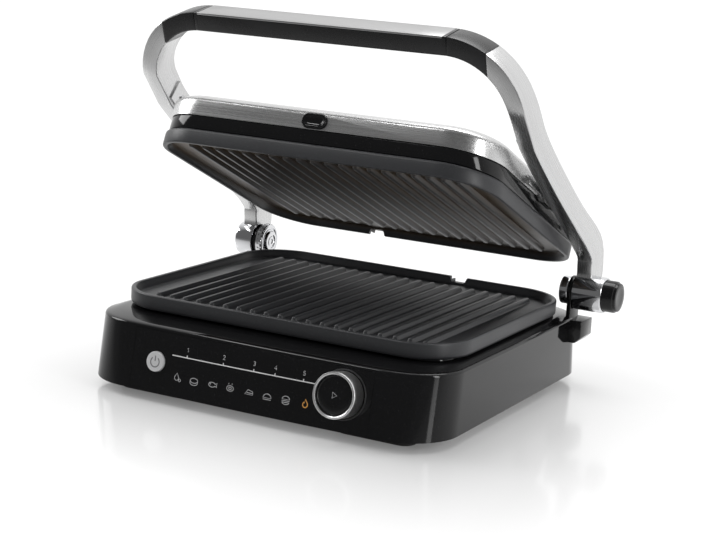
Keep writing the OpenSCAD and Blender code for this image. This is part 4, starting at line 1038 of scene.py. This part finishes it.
arm_stations = [station(number=k) for k in range(0, 7 * line_steps, 4)]
arm_stations += [station(angle=a) for a in (84, 78, 72, 66, 60, 54, 50)]
arm_stations += [station(angle=50, seam=part) for part in (0.25, 0.5, 0.75, 1)]
end_stations = [station(angle=26, seam=part) for part in (1, 0.75, 0.5, 0.25)]
end_stations += [station(angle=a) for a in (26, 22, 18, 14, 10, 6, 3.2)]
for side_name, flip in (("right", False), ("left", True)):
    bar(arm_stations, side_name + "_arm_bar", arm_steel, "brushed_arm", [side_name + "_arm"], flip)
print("arm stations:", len(arm_stations))

# %% [markdown]
# The handle is a moulded grip between two end pieces, and it continues the bar without a step. Its
# ends are bevelled a little, which leaves the fine seams that show where the mouldings meet. The
# grip has a shallow bed on top, from lip to lip, and a brushed inlay lies in it.

# %% Handle
for side_name, flip in (("right", False), ("left", True)):
    bar(end_stations, side_name + "_handle_corner", satin_black, "matt_black", ["handle_end_" + side_name], flip, 1.4)
spots = [inlay_half, 82, 55, 28, 0, -28, -55, -82, -inlay_half]
lips = [[station(x=s * grip_x), station(x=s * (inlay_half + 0.12))] for s in (1, -1)]
floor_stations = [station(x=x * 1.0006, high=inlay_a - 0.05) for x in spots]
bar(lips[0] + floor_stations + lips[1][::-1], "grip", satin_black, "matt_black", ["handle_grip"], round_off=1.4)
inlay_stations = [station(x=x, high=bar_t / 2) for x in spots]
bar(inlay_stations, "grip_inlay", inlay_steel, "chrome", ["handle_inlay"], round_off=0.35, low=inlay_a)
print("handle built")

# %% [markdown]
# ## Hinges
# Each arm ends in a turned eye on a pin. The right eye is an open cup that holds the release
# button; the left eye is closed. Turned parts are spun about Z and then laid along X, and those of
# the left hinge are mirrored.

# %% Hinge eyes and release button
eye_r, eye_x0, eye_x1, left_eye_h, pin_end, pin_bore = 15.2, 156.5, 182, 17.3, 171, 6.05
release_r, release_x0, release_x1 = 13.3, 174.6, 194


def lie_along_x(x):
    return Matrix.Translation((x, hinge.y, hinge.z)) @ Matrix.Rotation(math.pi / 2, 4, "Y")


def eye_skin(h):
    """The outside of an eye of height h, from its bore round to the flat of its end."""
    return [(pin_bore, 0), (eye_r - 0.8, 0), (eye_r - 0.25, 0.25), (eye_r, 0.8), (eye_r, h - 1.6),
            (eye_r - 0.2, h - 0.8), (eye_r - 0.7, h - 0.2), (eye_r - 1.2, h)]


cup_h, cup_floor = eye_x1 - eye_x0, pin_end + 0.3 - eye_x0
lathe("right_hinge_eye", "arm", chrome, "chrome", (), lie_along_x(eye_x0), eye_skin(cup_h) + [
    (release_r + 0.45, cup_h), (release_r + 0.05, cup_h - 0.5), (release_r + 0.05, cup_floor), (pin_bore, cup_floor),
    (pin_bore, 0)])
h = left_eye_h
lathe("left_hinge_eye", "arm", chrome, "chrome", (), mirrored @ lie_along_x(eye_x0), eye_skin(h) + [
    (eye_r - 2.2, h), (eye_r - 2.8, h - 0.5), (3, h - 0.9), (0, h - 0.9), (0, h - 2.5), (pin_bore, h - 2.5),
    (pin_bore, 0)])
h = release_x1 - release_x0
lathe("release_cap", "release_button", gloss_black, "gloss_black", ["release_button"], lie_along_x(release_x0), [
    (release_r - 2.2, 0), (release_r, 0), (release_r, h - 3.4), (release_r - 0.3, h - 2.7), (release_r - 0.9, h - 2.3),
    (release_r - 1.1, h - 1.2), (release_r - 1.6, h - 0.3), (release_r - 2.4, h), (7, h - 0.3), (0, h - 0.6),
    (0, h - 4.5), (release_r - 2.2, h - 4.5), (release_r - 2.2, 0)])
print("eyes and release button turned")

# %% Hub, pins and brackets
hub_x, pin_x, hub_r, tooth_count = 145.15, 143, 15.8, 24
bm = bmesh.new()
turned(bm, [(pin_bore, 6), (pin_bore, 0.5), (9.3, 0.5), (9.7, 0), (10.8, 0), (11.1, 1.1), (12.3, 1.1), (12.6, 0),
            (13.9, 0), (14.2, 0.5), (14.8, 0.5), (15.4, 0.9), (hub_r, 1.6), (hub_r, 6), (pin_bore, 6)], 96)
teeth = bmesh.new()
for k in range(tooth_count):
    tooth = bmesh.ops.create_cube(teeth, size=1)["verts"]
    bmesh.ops.scale(teeth, vec=(3, 1.7, 5.5), verts=tooth)
    bmesh.ops.translate(teeth, vec=(hub_r + 0.7, 0, 1.75), verts=tooth)
    bmesh.ops.rotate(teeth, cent=(0, 0, 0), matrix=Matrix.Rotation(2 * math.pi * k / tooth_count, 3, "Z"), verts=tooth)
bm = carved(bm, teeth)
piece(bm, "left_hub", "base", chrome, "chrome", ["hinge_hub_left"], place=mirrored @ lie_along_x(hub_x), smooth=28)
lathe("left_pin", "base", chrome, "chrome", ["hinge_pin_left"], mirrored @ lie_along_x(pin_x), [
    (0, 0.9), (2.1, 0.9), (2.4, 0.3), (4.4, 0.3), (4.7, 0.9), (6.0, 0.9), (6.3, 0.1), (8.1, 0.1), (8.7, 0.3),
    (9, 0.8), (9, 2), (6, 2), (6, 28), (0, 28), (0, 0.9)], 72)
for node, finish, slot, width in [
        ("hinge_bracket_left", gloss_black, "gloss_black", 0.9),
        ("hinge_bracket_right", gloss_black, "gloss_black", 0.9),
        ("hinge_pin_right", chrome, "chrome", 0.8), ("hinge_washers", zinc, "chrome", 0.1)]:
    dress(node, "base", finish, slot, width)
print("hinges built")

# %% [markdown]
# ## Small parts and what lies inside
# The other solids already have the right form. Each gets its own finish and most get rounded edges,
# so that it still looks right when a plate is lifted, the tray is pulled out or the grill is turned over.

# %% Remaining parts
slots = {matt_black: "matt_black", rubber: "rubber", zinc: "screw_steel", milky: "milky_white",
         board: "circuit_board", sheet_metal: "reflector_sheet", heater_metal: "heater_steel",
         arm_steel: "brushed_arm", lid_steel: "brushed_steel", chrome: "chrome"}
for node, body, finish, width in [
        ("bottom_cover", "base", matt_black, 0.25), ("feet", "base", rubber, 0.8), ("cover_screws", "base", zinc, 0.0),
        ("encoder", "base", zinc, 0.2), ("power_switch", "base", matt_black, 0.2), ("light_guide", "base", milky, 0.3),
        ("control_board", "base", board, 0.15), ("power_board", "base", board, 0.15),
        ("cable_gland", "base", matt_black, 0.5), ("lower_reflector", "base", sheet_metal, 0.2),
        ("lower_heater", "base", heater_metal, 0.0), ("lower_heater_clips", "base", zinc, 0.3),
        ("lower_sensor", "base", milky, 0.3), ("plate_latch", "plate_latch", matt_black, 0.5),
        ("drip_tray", "drip_tray", matt_black, 0.7), ("release_spring", "arm", zinc, 0.0),
        ("left_arm_cover", "arm", arm_steel, 0.0), ("right_arm_cover", "arm", arm_steel, 0.0),
        ("arm_screws", "arm", zinc, 0.0), ("lid_cable", "arm", milky, 0.0),
        ("upper_reflector", "lid", sheet_metal, 0.2), ("upper_heater", "lid", heater_metal, 0.0),
        ("upper_heater_clips", "lid", zinc, 0.1), ("upper_sensor", "lid", milky, 0.3),
        ("lid_bracket_left", "lid", lid_steel, 0.3), ("lid_bracket_right", "lid", lid_steel, 0.3),
        ("lid_pivot_pins", "lid", chrome, 0.2), ("latch_spring", "lid", zinc, 0.0)]:
    dress(node, body, finish, slots[finish], width)

# %% [markdown]
# ## Studio
# The photograph has a white background and a white, slightly glossy floor. The white is in the
# world and the floor as the camera sees them, not in extra light, so the black stays black. Close
# to the grill, in a soft band shaped like the housing's footprint, that white fades out: the floor
# there keeps its real shadow and mirrors the housing, and is also greyer by painted shade. What
# the metal mirrors is white behind the grill and dark in front of it, as in a room with one pale
# wall. The grill itself is lit by soft boxes, whose long shapes draw the bright bands on the metal.

# %% Floor
def floor_white(shader):
    return {
        "Base Color": shader.blend(shader.grain(3), (0.84, 0.84, 0.84, 1), (0.86, 0.86, 0.86, 1)),
        "Roughness": 0.22 + shader.grain(2) * 0.02,
    }


paper = material("studio_floor", floor_white, Coat_Weight=1.0, Coat_Roughness=0.1)
shader = Shader(paper.node_tree, fresh=False)
principled = next(n for n in paper.node_tree.nodes if n.type == "BSDF_PRINCIPLED")
end = next(n for n in paper.node_tree.nodes if n.type == "OUTPUT_MATERIAL")
glow = shader.node("ShaderNodeEmission", None, {"Color": (1, 1, 1, 1), "Strength": 1.15})
camera_ray, glossy_ray, clear_ray = shader.rays()
# painted shade: in a soft band around the housing's footprint the floor's white glow fades out, so the floor there is
# greyer as well as keeping its real shadow and reflection
beside = shader.vector("SUBTRACT", shader.here(), (0, -0.005, 0))
beside = shader.vector("SUBTRACT", shader.vector("ABSOLUTE", beside), (0.135, 0.125, 0))
distance = shader.vector("LENGTH", shader.vector("MAXIMUM", beside), output=1)
painted_shade_fade = shader.ramp(distance, 0.0, 0.22)
shown = (camera_ray + clear_ray) * (painted_shade_fade * 0.75 + 0.1) + glossy_ray * 0.4
mixed = shader.node("ShaderNodeMixShader", None, {0: shown, 1: Wire(shader, principled.outputs[0]), 2: glow})
ahead = shader.ramp(shader.y_of(shader.here()), 0.05, -0.5)
dim = shader.node("ShaderNodeEmission", None, {"Color": (1, 1, 1, 1), "Strength": 0.13})
mixed = shader.node("ShaderNodeMixShader", None, {0: glossy_ray * ahead * 0.85, 1: mixed, 2: dim})
paper.node_tree.links.new(mixed.socket, end.inputs["Surface"])
bm = bmesh.new()
bmesh.ops.create_grid(bm, x_segments=1, y_segments=1, size=40)
mesh = bpy.data.meshes.new("studio_floor")
bm.to_mesh(mesh)
bm.free()
mesh.materials.append(paper)
floor = bpy.data.objects.new("studio_floor", mesh)
bpy.context.scene.collection.objects.link(floor)
floor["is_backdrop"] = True
print("floor laid")

# %% World and soft boxes
world = bpy.data.worlds.new("studio")
bpy.context.scene.world = world
world.use_nodes = True
shader = Shader(world.node_tree)
behind = shader.ramp(shader.y_of(shader.node("ShaderNodeTexCoord", output="Generated")), -0.45, 0.35)
camera_ray, glossy_ray, clear_ray = shader.rays()
shown = camera_ray + clear_ray + glossy_ray * behind
soft = shader.node("ShaderNodeBackground", None, {"Color": (1, 1, 1, 1), "Strength": 0.42})
dark = shader.node("ShaderNodeBackground", None, {"Color": (1, 1, 1, 1), "Strength": 0.14})
ambient = shader.node("ShaderNodeMixShader", None, {0: glossy_ray, 1: soft, 2: dark})
white = shader.node("ShaderNodeBackground", None, {"Color": (1, 1, 1, 1), "Strength": 1.0})
both = shader.node("ShaderNodeMixShader", None, {0: shown, 1: ambient, 2: white})
end = world.node_tree.nodes.new("ShaderNodeOutputWorld")
world.node_tree.links.new(both.socket, end.inputs["Surface"])


def soft_box(name, place, aim, width, height, power):
    lamp = bpy.data.lights.new(name, "AREA")
    lamp.shape, lamp.size, lamp.size_y, lamp.energy = "RECTANGLE", width, height, power
    made = bpy.data.objects.new(name, lamp)
    made.location = place
    made.rotation_euler = (Vector(aim) - Vector(place)).to_track_quat("-Z", "Y").to_euler()
    bpy.context.scene.collection.objects.link(made)


soft_box("key_left", (-1.9, -0.35, 1.2), (0, 0, 0.1), 1.0, 1.0, 18)
soft_box("strip_right", (1.5, -0.5, 0.55), (0, 0, 0.15), 0.25, 1.1, 7)
soft_box("top", (0.1, 0.5, 1.7), (0, 0, 0.1), 1.4, 0.8, 14)
soft_box("edge_strip", (-0.9, -0.35, 1.8), (0, 0, 0.1), 1.2, 0.14, 5)
scene = bpy.context.scene
scene.view_settings.view_transform = "Standard"
print("studio lit")

# %% Measure both boxes
bpy.context.view_layer.update()
seen_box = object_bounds()
plain = lambda box: [[float(v) for v in corner] for corner in box]
{"cad": plain(cad_box), "visual": plain(seen_box)}
print("measured:", plain(cad_box), "dressed:", plain(seen_box))
